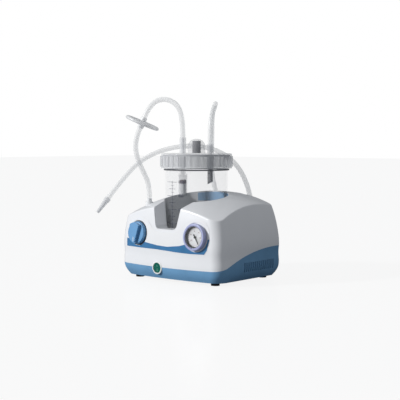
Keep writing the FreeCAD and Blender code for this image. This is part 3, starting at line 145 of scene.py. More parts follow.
class Tree:
    """Node tree of a material or of the world, with short ways to fill it."""

    def __init__(self, owner: bpy.types.Material | bpy.types.World) -> None:
        """Take up the tree of its owner."""
        owner.use_nodes = True
        self.nodes, self.links = owner.node_tree.nodes, owner.node_tree.links

    def add(self, kind: str, **values: object) -> bpy.types.Node:
        """Add a node.

        Args:
            kind: Its type, without the leading ShaderNode.
            values: Values of its inputs by name, with an underscore for a space.

        Returns:
            The node.
        """
        node = self.nodes.new("ShaderNode" + kind)
        for name, value in values.items():
            node.inputs[name.replace("_", " ")].default_value = value
        return node

    def noise(self, size: float, detail: float) -> bpy.types.Node:
        """Noise in the part's own coordinates, its blotches of a size in metres."""
        noise = self.add("TexNoise", Scale=1.0 / size, Detail=detail)
        self.links.new(self.add("TexCoord").outputs["Object"], noise.inputs["Vector"])
        return noise

    def reckon(self, operation: str, first: bpy.types.NodeSocket,
               second: bpy.types.NodeSocket | float) -> bpy.types.NodeSocket:
        """Result of one sum.

        Args:
            operation: Its kind.
            first: Its first term.
            second: Its second term, a socket or a number.

        Returns:
            The socket with the result.
        """
        node = self.add("Math")
        node.operation = operation
        self.links.new(first, node.inputs[0])
        if isinstance(second, float):
            node.inputs[1].default_value = second
        else:
            self.links.new(second, node.inputs[1])
        return node.outputs["Value"]


@dataclass(frozen=True)
class Finish:
    """One procedural material: its colour, gloss, grain and, where clear, its alpha."""

    name: str
    colour: Colour
    roughness: float
    brushed: bool = False
    grain: float = 0.0006
    relief: float = 0.00002
    tint: float = 0.03
    metallic: float = 0.0
    coat: float = 0.0
    transmission: float = 0.0
    ior: float = 1.49
    alpha: float = 1.0

    def build(self) -> bpy.types.Material:
        """Make the material, or return the one already made.

        Returns:
            The Blender material of this finish.
        """
        found = bpy.data.materials.get(self.name)
        if found is not None:
            return found
        material = bpy.data.materials.new(self.name)
        tree = Tree(material)
        shader = tree.nodes["Principled BSDF"]
        for name, value in (
            ("Metallic", self.metallic),
            ("IOR", self.ior),
            ("Coat Weight", self.coat),
            ("Coat Roughness", COAT_ROUGHNESS),
            ("Transmission Weight", self.transmission),
            ("Alpha", self.alpha),
        ):
            shader.inputs[name].default_value = value
        tree.links.new(self._colour(tree), shader.inputs["Base Color"])
        self._surface(tree, shader)
        return material

    def _colour(self, tree: Tree) -> bpy.types.NodeSocket:
        """Colour with broad, faint blotches.

        Args:
            tree: The material's nodes.

        Returns:
            The socket that gives the colour.
        """
        ramp = tree.add("ValToRGB")
        dark = tuple(value * (1.0 - self.tint) for value in self.colour)
        light = tuple(min(1.0, value * (1.0 + self.tint)) for value in self.colour)
        stops = zip(ramp.color_ramp.elements, BLOTCH_SPREAD, (dark, light))
        for stop, position, colour in stops:
            stop.position = position
            stop.color = (*colour, 1.0)
        tree.links.new(tree.noise(BLOTCH, BLOTCH_DETAIL).outputs["Fac"], ramp.inputs["Fac"])
        return ramp.outputs["Color"]

    def _surface(self, tree: Tree, shader: bpy.types.Node) -> None:
        """Roughness that varies a little, and a fine relief.

        Args:
            tree: The material's nodes.
            shader: Its principled shader.
        """
        low, high = (self.roughness * share for share in ROUGHNESS_SPREAD)
        spread = tree.add("MapRange", To_Min=low, To_Max=min(1.0, high))
        tree.links.new(tree.noise(PATCH, GRAIN_DETAIL).outputs["Fac"], spread.inputs["Value"])
        tree.links.new(spread.outputs["Result"], shader.inputs["Roughness"])
        grain = tree.noise(self.grain, GRAIN_DETAIL)
        if self.brushed:
            stretch = tree.add("Mapping", Scale=(1.0, 1.0, BRUSHED_STRETCH))
            tree.links.new(tree.add("TexCoord").outputs["Object"], stretch.inputs["Vector"])
            tree.links.new(stretch.outputs["Vector"], grain.inputs["Vector"])
        bump = tree.add("Bump", Distance=self.relief, Strength=BUMP_STRENGTH)
        tree.links.new(grain.outputs["Fac"], bump.inputs["Height"])
        tree.links.new(bump.outputs["Normal"], shader.inputs["Normal"])


@dataclass(frozen=True)
class ClearFinish(Finish):
    """Smooth clear plastic, barely tinted."""

    relief: float = 0.000002
    tint: float = 0.02


@dataclass(frozen=True)
class GripFinish(Finish):
    """Handle moulded in the casing's white, with a blue grip let into the middle of it."""

    white: Colour = (0.83, 0.84, 0.86)
    crown: float = 0.162
    arch: float = 1.8
    half_width: float = 0.038

    def _colour(self, tree: Tree) -> bpy.types.NodeSocket:
        """Blue under an arch and between two ends, white elsewhere.

        Args:
            tree: The material's nodes.

        Returns:
            The socket that gives the colour.
        """
        apart = tree.add("SeparateXYZ")
        tree.links.new(tree.add("TexCoord").outputs["Object"], apart.inputs["Vector"])
        square = tree.reckon("MULTIPLY", apart.outputs["X"], apart.outputs["X"])
        bend = tree.reckon("MULTIPLY", square, self.arch)
        height = tree.reckon("ADD", apart.outputs["Z"], bend)
        above = tree.reckon("GREATER_THAN", height, self.crown)
        aside = tree.reckon("GREATER_THAN", square, self.half_width ** 2)
        mixed = tree.add("Mix")
        mixed.data_type = "RGBA"
        colours = [socket for socket in mixed.inputs if socket.type == "RGBA"]
        tree.links.new(tree.reckon("MAXIMUM", above, aside), mixed.inputs["Factor"])
        tree.links.new(super()._colour(tree), colours[0])
        colours[1].default_value = (*self.white, 1.0)
        return next(socket for socket in mixed.outputs if socket.type == "RGBA")


class Finishes:
    """All the finishes of the part, by what they are on."""

    CASING = Finish("glossy_white_casing", (0.83, 0.84, 0.86), 0.3, coat=0.25,
                    relief=FINE, tint=0.008)
    BASE = Finish("glossy_blue_base", (0.16, 0.34, 0.55), 0.36, ior=1.25, tint=0.05)
    HANDLE = GripFinish("two_colour_handle", (0.2, 0.38, 0.6), 0.34, coat=0.15, tint=0.05)
    KNOB = Finish("satin_blue_knob", (0.125, 0.33, 0.6), 0.36, tint=0.05, coat=0.1)
    BEZEL = Finish("satin_lavender_bezel", (0.36, 0.39, 0.62), 0.32, coat=0.2, tint=0.05)
    DIAL = Finish("white_enamelled_dial", (0.86, 0.85, 0.86), 0.4, brushed=True, relief=FINE)
    NEEDLE = Finish("black_enamelled_needle", (0.012, 0.012, 0.014), 0.35, relief=FINE)
    SWITCH_FRAME = Finish("white_switch_frame", (0.85, 0.87, 0.86), 0.25, coat=0.3)
    ROCKER = Finish("green_rocker", (0.0, 0.125, 0.085), 0.2, coat=0.2, tint=0.1)
    PORT = Finish("white_vacuum_port", (0.78, 0.79, 0.8), 0.35)
    DOME = Finish("smoky_valve_dome", (0.2, 0.2, 0.21), 0.12, coat=0.8, tint=0.05)
    RING = Finish("grey_sealing_ring", (0.17, 0.175, 0.19), 0.35)
    GASKET = Finish("grey_silicone_gasket", (0.3, 0.31, 0.33), 0.5)
    FLOAT = Finish("white_float", (0.78, 0.78, 0.78), 0.35)
    SEAL = Finish("dark_float_seal", (0.09, 0.025, 0.025), 0.5)
    FILTER = ClearFinish("frosted_filter", (0.88, 0.89, 0.9), 0.35, relief=FINE, alpha=0.6)
    FEET = Finish("black_rubber_feet", (0.02, 0.02, 0.021), 0.75, relief=0.00006)
    SCREWS = Finish("zinc_screws", (0.55, 0.55, 0.56), 0.3, brushed=True, metallic=1.0)
    # Black of the mains inlet and the fan, also used as painted shade on the knob's collar.
    BLACK_INLET_AND_COLLAR_SHADE = Finish("black_inlet_and_collar_shade", (0.015, 0.015, 0.016), 0.45, relief=0.00004)
    PINS = Finish("brass_pins", (0.72, 0.53, 0.2), 0.25, brushed=True, metallic=1.0)
    REGULATOR = Finish("grey_regulator", (0.2, 0.205, 0.21), 0.5)
    MOTOR = Finish("zinc_motor_case", (0.4, 0.4, 0.41), 0.4, brushed=True, metallic=0.9)
    ROTOR = Finish("copper_rotor", (0.45, 0.2, 0.1), 0.4, brushed=True, metallic=0.9)
    PUMP = Finish("cast_alloy_pump", (0.55, 0.55, 0.56), 0.5, brushed=True, metallic=0.9,
                  grain=0.0015, relief=0.00008)
    HOSE = Finish("inner_hose", (0.5, 0.5, 0.48), 0.5)
    JAR = ClearFinish("crystal_jar_wall", (0.86, 0.9, 0.95), 0.05, grain=0.02, tint=0.01,
                      alpha=0.05)
    LID = ClearFinish("clear_grey_lid", (0.88, 0.89, 0.91), 0.12, grain=0.006, relief=0.00001,
                      alpha=0.36)
    CAGE = ClearFinish("clear_float_cage", (0.6, 0.62, 0.66), 0.1, alpha=0.16)
    DROP = ClearFinish("smoky_drop_tube", (0.28, 0.29, 0.32), 0.1, alpha=0.42)
    CONNECTOR = ClearFinish("clear_grey_connector", (0.8, 0.81, 0.83), 0.15, alpha=0.6)
    DOME_SHELL = ClearFinish("clear_dome_shell", (0.6, 0.61, 0.64), 0.05, alpha=0.25)
    LENS = ClearFinish("clear_gauge_lens", (0.97, 0.98, 0.99), 0.01, transmission=1.0, tint=0.005)
    TUBE = ClearFinish("translucent_silicone", (0.95, 0.96, 0.965), 0.28, grain=0.004,
                       relief=FINE, alpha=0.36)
    LABEL_FILM = Finish("gloss_label_film", (0.87, 0.875, 0.885), 0.14,
                        relief=FINE, tint=0.01, coat=0.4)
    LABEL_BLUE = Finish("blue_label_ink", (0.055, 0.2, 0.41), 0.16,
                        relief=FINE, tint=0.12, coat=0.4)
    INK_DARK = Finish("dark_scale_ink", (0.03, 0.035, 0.07), 0.4)
    INK_DIAL = Finish("dial_ink", (0.16, 0.03, 0.05), 0.4)
    INK_RED = Finish("red_dial_ink", (0.55, 0.05, 0.06), 0.4)
    INK_PALE = Finish("pale_rocker_ink", (0.2, 0.5, 0.4), 0.4)
    INK_WHITE = Finish("white_mark_ink", (0.85, 0.86, 0.86), 0.4)
    # Painted shade: near-black finish of the cone inside the gauge bezel, standing in for the
    # shadow on its inner wall.
    BEZEL_PAINTED_SHADE = Finish("black_painted_bezel_shade", (0.008, 0.008, 0.01), 0.35)
    FLOOR = Finish("pale_floor", (0.9, 0.905, 0.915), 0.22, tint=0.004, relief=0.000002)


FINISHED_NODES: tuple[tuple[Finish, tuple[str, ...]], ...] = (
    (Finishes.CASING, ("upper_casing",)),
    (Finishes.BASE, ("base_tray",)),
    (Finishes.HANDLE, ("rear_handle",)),
    (Finishes.FEET, ("rubber_feet", "pump_mounts")),
    (Finishes.SCREWS, ("casing_screws", "valve_stem", "crank", "pump_plate")),
    (Finishes.JAR, ("collection_jar",)),
    (Finishes.LID, ("jar_lid",)),
    (Finishes.GASKET, ("lid_gasket",)),
    (Finishes.DOME_SHELL, ("valve_dome",)),
    (Finishes.CAGE, ("float_cage",)),
    (Finishes.FLOAT, ("overflow_float",)),
    (Finishes.SEAL, ("float_seal",)),
    (Finishes.DROP, ("drop_tube",)),
    (Finishes.KNOB, ("control_knob",)),
    # The knob collar's black is painted shade for the dark ring beside the knob; the mains inlet
    # and the fan are black in their own right.
    (Finishes.BLACK_INLET_AND_COLLAR_SHADE, ("knob_collar", "mains_inlet", "cooling_fan")),
    (Finishes.REGULATOR, ("regulator_body",)),
    (Finishes.BEZEL, ("gauge_case",)),
    (Finishes.DIAL, ("gauge_dial",)),
    (Finishes.LENS, ("gauge_lens",)),
    (Finishes.NEEDLE, ("gauge_needle",)),
    (Finishes.SWITCH_FRAME, ("switch_housing",)),
    (Finishes.ROCKER, ("power_rocker",)),
    (Finishes.PINS, ("inlet_pins",)),
    (Finishes.PORT, ("vacuum_port",)),
    (Finishes.MOTOR, ("motor_can",)),
    (Finishes.ROTOR, ("motor_rotor",)),
    (Finishes.PUMP, ("crankcase", "pump_cylinder", "cylinder_head", "pump_piston")),
    (Finishes.FILTER, ("bacteria_filter",)),
    (Finishes.CONNECTOR, ("tube_connector",)),
    (Finishes.HOSE, ("port_hose", "pump_hose")),
)


# --- workshop


class Workshop:
    """Small modelling steps shared by the sub-assemblies."""

    @staticmethod
    def clear() -> None:
        """Deselect every object."""
        bpy.ops.object.select_all(action="DESELECT")

    @staticmethod
    def pick(piece: bpy.types.Object) -> None:
        """Select one object alone and make it active."""
        Workshop.clear()
        piece.select_set(True)
        bpy.context.view_layer.objects.active = piece

    @staticmethod
    def latest(name: str) -> bpy.types.Object:
        """Name the piece that was just added, and return it."""
        piece = bpy.context.object
        piece.name = name
        piece.data.name = name
        return piece

    @staticmethod
    def settle(piece: bpy.types.Object) -> bpy.types.Object:
        """Move a piece's place, turn and scale into its mesh, and return it."""
        Workshop.pick(piece)
        bpy.ops.object.transform_apply(location=True, rotation=True, scale=True)
        return piece

    @staticmethod
    def lay(piece: bpy.types.Object, place: Matrix) -> bpy.types.Object:
        """Put a piece modelled about the origin in its place, by its vertices."""
        piece.data.transform(place)
        piece.data.update()
        return piece

    @staticmethod
    def reshape(piece: bpy.types.Object, rule: Callable[[Vector], Vector]) -> None:
        """Move each vertex to the place that the rule gives it."""
        for vertex in piece.data.vertices:
            vertex.co = rule(vertex.co.copy())
        piece.data.update()

    @staticmethod
    def apply(piece: bpy.types.Object, kind: str, **settings: object) -> None:
        """Add one modifier and apply it.

        Args:
            piece: The mesh object.
            kind: The modifier's type.
            settings: Its settings.
        """
        Workshop.pick(piece)
        modifier = piece.modifiers.new(kind.lower(), kind)
        for name, value in settings.items():
            setattr(modifier, name, value)
        bpy.ops.object.modifier_apply(modifier=modifier.name)

    @staticmethod
    @contextmanager
    def editing(piece: bpy.types.Object) -> Iterator[None]:
        """Edit mode on one piece, with all of it selected."""
        Workshop.pick(piece)
        bpy.ops.object.mode_set(mode="EDIT")
        bpy.ops.mesh.select_all(action="SELECT")
        yield
        bpy.ops.object.mode_set(mode="OBJECT")

    @staticmethod
    def outward(piece: bpy.types.Object) -> None:
        """Turn every face of a piece outward."""
        with Workshop.editing(piece):
            bpy.ops.mesh.normals_make_consistent(inside=False)

    @staticmethod
    def extrude(piece: bpy.types.Object, rise: float) -> None:
        """Draw all of a flat piece or outline up along Z."""
        with Workshop.editing(piece):
            bpy.ops.mesh.extrude_region_move(TRANSFORM_OT_translate={"value": (0.0, 0.0, rise)})

    @staticmethod
    def round_edges(piece: bpy.types.Object, width: float) -> None:
        """Round every edge of a piece, and shade it smooth."""
        with Workshop.editing(piece):
            bpy.ops.mesh.bevel(offset=width, segments=3, affect="EDGES")
        Workshop.smooth(piece)

    @staticmethod
    def smooth(piece: bpy.types.Object, degrees: float = 35.0) -> None:
        """Shade smooth except over sharp edges."""
        Workshop.pick(piece)
        bpy.ops.object.shade_smooth_by_angle(angle=math.radians(degrees))

    @staticmethod
    def dress(piece: bpy.types.Object, finish: Finish, slot: Slot,
              body: Body) -> bpy.types.Object:
        """Give a piece its finish and its body.

        Args:
            piece: The object.
            finish: Its finish.
            slot: Not used.
            body: The body that it rides on.

        Returns:
            The same object.
        """
        piece.data.materials.clear()
        piece.data.materials.append(finish.build())
        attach(piece, body.value)
        LOG.info("%s rides on %s", piece.name, body.value)
        return piece

    @staticmethod
    def join(name: str, pieces: list[bpy.types.Object]) -> bpy.types.Object:
        """Join several meshes into one piece.

        Args:
            name: The new piece's name.
            pieces: The meshes, in any order.

        Returns:
            The joined object.
        """
        Workshop.clear()
        for piece in pieces:
            piece.select_set(True)
        bpy.context.view_layer.objects.active = pieces[0]
        bpy.ops.object.join()
        return Workshop.latest(name)

    @staticmethod
    def numeral(text: str, height: float, depth: float) -> bpy.types.Object:
        """Raised number, centred on the origin, facing +Z with its top toward +Y.

        Args:
            text: The digits.
            height: Size of the type.
            depth: Half its thickness.

        Returns:
            The number as a mesh.
        """
        Workshop.clear()
        bpy.ops.object.text_add()
        piece = bpy.context.object
        piece.data.body = text
        piece.data.size = height
        piece.data.extrude = depth
        piece.data.resolution_u = 3
        piece.data.align_x = "CENTER"
        piece.data.align_y = "CENTER"
        bpy.ops.object.convert(target="MESH")
        return bpy.context.object

    @staticmethod
    def bar(width: float, height: float, depth: float, place: Point) -> bpy.types.Object:
        """Thin raised stroke with softened ends, facing +Z.

        Args:
            width: Its length along X.
            height: Its length along Y.
            depth: Its thickness.
            place: Its middle.

        Returns:
            The stroke.
        """
        Workshop.clear()
        bpy.ops.mesh.primitive_plane_add(size=1.0, location=place)
        piece = bpy.context.object
        piece.scale = (width, height, 1.0)
        Workshop.settle(piece)
        softened = min(width, height) * STROKE_ROUND
        with Workshop.editing(piece):
            bpy.ops.mesh.bevel(offset=softened, segments=2, affect="VERTICES")
            bpy.ops.mesh.extrude_region_move(TRANSFORM_OT_translate={"value": (0.0, 0.0, depth)})
        Workshop.outward(piece)
        return piece


def sunk(x: float, y: float, z: float) -> Point:
    """Point of the construction, in millimetres, in the part's frame in metres."""
    return (x * MILLIMETRE, (y + HousingPlaces.shift) * MILLIMETRE, z * MILLIMETRE)


class HousingPlaces:
    """Places shared with the construction, in millimetres, and the front wall's tilt in degrees."""

    shift = 4.977654
    jar_axis_y = -8.2
    control_y = -93.2
    control_z = 88.0
    front_tilt = 5.0
    knob_x = -71.0
    gauge_x = 71.0
    switch: Point = (-20.0, -96.6, 25.7)

    @classmethod
    def on_control(cls, x: float) -> Matrix:
        """Frame of the front control at x: +Z out through the leaning wall, +Y up along it."""
        turn = Matrix.Rotation(math.radians(90.0 - cls.front_tilt), 4, "X")
        return Matrix.Translation(sunk(x, cls.control_y, cls.control_z)) @ turn


# --- studio


@dataclass
class Studio:
    """Camera to the right of the front, pale floor, one key light and white surroundings."""

    eye: Point = (1.18063, -1.38664, 0.25923)
    aim: Point = (-0.00135, 0.00858, 0.14803)
    lens: float = 85.85
    floor_size: float = 24.0
    floor_level: float = -0.0002
    floor_dim: Colour = (0.3, 0.31, 0.33)
    glow_colour: Colour = (0.93, 0.96, 1.0)
    floor_white: float = 0.88
    glow: float = 0.37
    sun_round: float = 33.0
    sun_height: float = 21.0
    sun_strength: float = 2.8
    sun_width: float = 5.0
    sun_distance: float = 3.0
    sensor: float = 36.0
    clip: tuple[float, float] = (0.05, 60.0)

    def camera(self) -> None:
        """Place the camera."""
        data = bpy.data.cameras.new("camera")
        data.lens = self.lens
        data.sensor_width = self.sensor
        data.clip_start, data.clip_end = self.clip
        camera = bpy.data.objects.new("camera", data)
        bpy.context.scene.collection.objects.link(camera)
        camera.location = self.eye
        look = Vector(self.aim) - Vector(self.eye)
        camera.rotation_euler = look.to_track_quat("-Z", "Y").to_euler()
        bpy.context.scene.camera = camera

    def lamp(self) -> None:
        """Hang the key light to the left of the front, low enough to leave the top greyer."""
        data = bpy.data.lights.new("key", "SUN")
        data.energy = self.sun_strength
        data.angle = math.radians(self.sun_width)
        lamp = bpy.data.objects.new("key", data)
        bpy.context.scene.collection.objects.link(lamp)
        side, height = math.radians(self.sun_round), math.radians(self.sun_height)
        away = Vector((-math.sin(side) * math.cos(height), -math.cos(side) * math.cos(height),
                       math.sin(height)))
        lamp.location = away * self.sun_distance
        lamp.rotation_euler = (-away).to_track_quat("-Z", "Y").to_euler()

    def world(self) -> None:
        """White surroundings, dimmer for the light they give than for what the camera sees."""
        world = bpy.data.worlds.new("surroundings")
        bpy.context.scene.world = world
        tree = Tree(world)
        tree.nodes.clear()
        output = tree.add("OutputWorld")
        glow = tree.add("Background", Color=(*self.glow_colour, 1.0), Strength=self.glow)
        white = tree.add("Background", Color=FULL_WHITE)
        mixed = self.by_ray(tree, glow.outputs["Background"], white.outputs["Background"])
        tree.links.new(mixed, output.inputs["Surface"])

    @staticmethod
    def by_ray(tree: Tree, carried: bpy.types.NodeSocket,
               shown: bpy.types.NodeSocket) -> bpy.types.NodeSocket:
        """Mix two shaders by whether a ray shows the surface or only carries light.

        Args:
            tree: The nodes that hold the mix.
            carried: Shader for the rays that only carry light.
            shown: Shader for straight rays and for those through clear walls.

        Returns:
            The mix.
        """
        path = tree.add("LightPath")
        seen = tree.reckon("MAXIMUM", path.outputs["Is Camera Ray"],
                           path.outputs["Is Transmission Ray"])
        mixed = tree.add("MixShader")
        for source, target in ((seen, "Fac"), (carried, 1), (shown, 2)):
            tree.links.new(source, mixed.inputs[target])
        return mixed.outputs["Shader"]

    def paint_floor(self, material: bpy.types.Material) -> None:
        """White to the eye with the part's shadow on it, and dim for the light it throws back.

        Args:
            material: The floor's finish.
        """
        tree = Tree(material)
        output = next(node for node in tree.nodes if node.type == "OUTPUT_MATERIAL")
        glow = tree.add("Emission", Color=FULL_WHITE, Strength=1.0)
        bright = tree.add("MixShader", Fac=self.floor_white)
        dim = tree.add("BsdfDiffuse", Color=(*self.floor_dim, 1.0))
        tree.links.new(tree.nodes["Principled BSDF"].outputs["BSDF"], bright.inputs[1])
        tree.links.new(glow.outputs["Emission"], bright.inputs[2])
        mixed = self.by_ray(tree, dim.outputs["BSDF"], bright.outputs["Shader"])
        tree.links.new(mixed, output.inputs["Surface"])

    def floor(self) -> None:
        """Pale floor, which keeps the part's shadow and a faint reflection."""
        Workshop.clear()
        bpy.ops.mesh.primitive_plane_add(size=self.floor_size,
                                         location=(0.0, 0.0, self.floor_level))
        floor = Workshop.settle(Workshop.latest("floor"))
        material = Finishes.FLOOR.build()
        self.paint_floor(material)
        floor.data.materials.append(material)
        floor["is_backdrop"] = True

    def build(self) -> None:
        """Camera first, then the surroundings, the floor and the lamp."""
        self.camera()
        scene = bpy.context.scene
        scene.view_settings.view_transform = "Standard"
        self.world()
        self.floor()
        self.lamp()


# --- tubes


def beyond(first: Point, last: Point, distance: float) -> Point:
    """Point past the last one, on the straight line from the first."""
    step = (Vector(last) - Vector(first)).normalized() * distance
    return tuple(Vector(last) + step)


@dataclass
class Tubing:
    """Silicone tubes: casing to filter, filter to lid, and the patient's tube."""

    radius: float = 0.0048
    filter_in: Point = sunk(-84, -63.5, 305.5)
    filter_out: Point = sunk(-91, -68, 286)
    port_turn: float = 40.0
    port_offset: float = 26.0
    order: int = 3
    steps: int = 10
    sides: int = 7
    patient_bends: tuple[Point, ...] = (
        (18, 16, 312), (10, 37, 333), (-10, 60, 334), (-28.9, 73.2, 315), (-39.9, 86.2, 280),
        (-50.9, 98.2, 240), (-57.9, 107.2, 192), (-52, 118, 146), (-47, 121, 110),
        (-38, 120, 76), (-12, 122, 60), (16, 124, 66), (34, 123, 93), (33, 123, 132),
        (29, 116, 170), (17, 105, 206), (-4, 88, 234), (-36, 65, 250), (-72, 35, 252),
        (-104, 5, 243), (-130, -24, 224), (-151, -50, 192), (-172, -75, 149),
    )

    def port(self, side: float, height: float) -> Point:
        """Point above one of the lid's ports.

        Args:
            side: -1 for the suction port, 1 for the patient port.
            height: Height above the standing surface, in millimetres.

        Returns:
            The point.
        """
        turn = math.radians(self.port_turn)
        x = side * self.port_offset * math.cos(turn)
        y = HousingPlaces.jar_axis_y + side * self.port_offset * math.sin(turn)
        return sunk(x, y, height)

    def upper_route(self) -> list[Point]:
        """Suction port of the lid to the filter."""
        return [
            self.port(-1, 267.8),
            self.port(-1, 303),
            sunk(-30, -30, 333),
            sunk(-54, -44, 343),
            beyond(self.filter_out, self.filter_in, 0.027),
            self.filter_in,
        ]

    def lower_route(self) -> list[Point]:
        """Filter to the vacuum port on the casing."""
        return [
            self.filter_out,
            beyond(self.filter_in, self.filter_out, 0.028),
            sunk(-99, -68, 227),
            sunk(-91, -58, 200),
            sunk(-86, -48, 176),
            sunk(-86, -48, 150),
        ]

    def patient_route(self) -> list[Point]:
        """Patient port of the lid, down behind the casing in a loop, and out to the left."""
        ports = [self.port(1, 254.8), self.port(1, 284)]
        return ports + [sunk(*bend) for bend in self.patient_bends]

    def tube(self, name: str, route: list[Point]) -> bpy.types.Object:
        """One smooth tube along a route.

        Args:
            name: The piece's name.
            route: Its points from end to end.

        Returns:
            The curve object.
        """
        data = bpy.data.curves.new(name, "CURVE")
        data.dimensions = "3D"
        spline = data.splines.new("NURBS")
        spline.points.add(len(route) - 1)
        for point, spot in zip(spline.points, route):
            point.co = (*spot, 1.0)
        spline.order_u = self.order
        spline.use_endpoint_u = True
        data.resolution_u = self.steps
        data.bevel_depth = self.radius
        data.bevel_resolution = self.sides
        data.use_fill_caps = True
        piece = bpy.data.objects.new(name, data)
        bpy.context.scene.collection.objects.link(piece)
        return piece

    def build(self, frame: dict) -> None:
        """Args:
            frame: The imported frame.
        """
        nodes = frame["nodes"]
        runs = (
            ("silicone_upper", self.upper_route(), "suction_tube_upper", 0.148, "fitting",
             [nodes["bacteria_filter"]]),
            ("silicone_lower", self.lower_route(), "suction_tube_lower", 0.143, "object", []),
            ("silicone_patient", self.patient_route(), "patient_tube", 0.913, "connector",
             [nodes["tube_connector"]]),
        )
        for name, route, node, length, end, others in runs:
            piece = self.tube(name, route)
            Workshop.dress(piece, Finishes.TUBE, Slot.TUBE, Body.LID)
            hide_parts(node)


# --- front label


@dataclass
class FrontLabel:
    """Glossy film on the front wall with a blue wave along its foot."""

    left: float = -103.0
    right: float = 101.0
    knob_clear: float = 24.0
    gauge_clear: float = 26.7
    seat_margin: float = 0.05
    least_height: float = 0.3
    start_y: float = -0.15
    film_lift: float = 0.00022
    film_rows: int = 56
    wave_lift: float = 0.00042
    wave_rows: int = 14
    thickness: float = 0.00018
    columns: int = 204
    foot: tuple[tuple[float, float], ...] = (
        (-103, 61.0), (-66, 60.6), (-20, 60.4), (7, 59.2), (35, 57.8), (59, 57.3), (90, 58.0),
        (96, 66.0), (101, 84.0),
    )
    wave: tuple[tuple[float, float], ...] = (
        (-103, 76.5), (-87, 73.5), (-56, 72.6), (-38, 70.2), (-20, 68.0), (6, 66.9), (34, 70.0),
        (44, 72.6), (70, 79.0), (90, 84.0), (101, 86.0),
    )
    head: tuple[tuple[float, float], ...] = (
        (-103, 88.0), (-100, 104.0), (-93, 115.0), (-84, 119.0), (-60, 119.0), (-46, 113.0),
        (-33, 99.0), (-22, 94.0), (0, 93.0), (22, 94.0), (33, 99.0), (46, 113.0), (60, 120.0),
        (80, 120.5), (92, 116.0), (99, 105.0), (101, 87.0),
    )

    @staticmethod
    def height(line: tuple[tuple[float, float], ...], x: float) -> float:
        """Height of a drawn line at x, straight between its points, all in millimetres."""
        for (x0, z0), (x1, z1) in zip(line, line[1:]):
            if x <= x1:
                share = max(0.0, min(1.0, (x - x0) / (x1 - x0)))
                return z0 + (z1 - z0) * share
        return line[-1][1]

    def seats(self) -> tuple[tuple[Vector, float], ...]:
        """Middle and radius, in millimetres, of what the label leaves free of each control."""
        level = HousingPlaces.control_z
        return (
            (Vector((HousingPlaces.knob_x, level)), self.knob_clear),
            (Vector((HousingPlaces.gauge_x, level)), self.gauge_clear),
        )

    def clear_of(self, spot: Vector) -> Vector:
        """Slide a point of the film outward to the edge of the seat that it lies in."""
        flat = Vector((spot.x / MILLIMETRE, spot.z / MILLIMETRE))
        for middle, clear in self.seats():
            reach = flat - middle
            if 0.0 < reach.length < clear:
                flat = middle + reach.normalized() * clear
        return Vector((flat.x * MILLIMETRE, spot.y, flat.y * MILLIMETRE))

    def inside_seats(self, spot: Vector) -> bool:
        """Whether a point lies inside the knob's or the gauge's seat by more than the margin."""
        flat = Vector((spot.x / MILLIMETRE, spot.z / MILLIMETRE))
        return any((flat - middle).length < clear - self.seat_margin
                   for middle, clear in self.seats())

    def strip(self, name: str, low: tuple, high: tuple, rows: int, lift: float,
              finish: Finish, slot: Slot, casing: bpy.types.Object) -> bpy.types.Object:
        """One layer of the label between two drawn lines, laid on the casing's front.

        Args:
            name: The piece's name.
            low: Its lower line.
            high: Its upper line.
            rows: How finely it is divided upward.
            lift: How far it stands off the casing.
            finish: Its finish.
            slot: The record's slot of that finish.
            casing: The wall that it lies on.

        Returns:
            The layer.
        """
        Workshop.clear()
        bpy.ops.mesh.primitive_grid_add(x_subdivisions=self.columns, y_subdivisions=rows, size=1.0)
        piece = Workshop.latest(name)

        def place(spot: Vector) -> Vector:
            """Point of the flat grid between the two lines."""
            x = self.left + (self.right - self.left) * (spot.x + 0.5)
            low_z = self.height(low, x)
            high_z = max(self.height(high, x), low_z + self.least_height)
            z = low_z + (high_z - low_z) * (spot.y + 0.5)
            return Vector((x * MILLIMETRE, self.start_y, z * MILLIMETRE))

        Workshop.reshape(piece, place)
        Workshop.pick(piece)
        bpy.ops.object.mode_set(mode="EDIT")
        bpy.ops.mesh.select_all(action="DESELECT")
        bpy.ops.object.mode_set(mode="OBJECT")
        vertices = piece.data.vertices
        for face in piece.data.polygons:
            face.select = all(self.inside_seats(vertices[v].co) for v in face.vertices)
        bpy.ops.object.mode_set(mode="EDIT")
        bpy.ops.mesh.select_mode(type="FACE")
        bpy.ops.mesh.delete(type="FACE")
        bpy.ops.mesh.select_mode(type="VERT")
        bpy.ops.object.mode_set(mode="OBJECT")
        Workshop.reshape(piece, self.clear_of)
        Workshop.apply(piece, "SHRINKWRAP", target=casing, wrap_method="PROJECT",
                       use_project_y=True, use_positive_direction=True,
                       use_negative_direction=False, offset=0.0)
        Workshop.reshape(piece, lambda spot: Vector((spot.x, spot.y - lift, spot.z)))
        Workshop.apply(piece, "SOLIDIFY", thickness=self.thickness, offset=1.0)
        Workshop.outward(piece)
        Workshop.smooth(piece)
        return Workshop.dress(piece, finish, slot, Body.HOUSING)

    def build(self, frame: dict) -> None:
        """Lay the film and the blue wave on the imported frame's casing."""
        casing = frame["nodes"]["upper_casing"]
        self.strip("label_film", self.foot, self.head, self.film_rows, self.film_lift,
                   Finishes.LABEL_FILM, Slot.CASING, casing)
        self.strip("label_wave", self.foot, self.wave, self.wave_rows, self.wave_lift,
                   Finishes.LABEL_BLUE, Slot.BASE, casing)


# --- gauge face


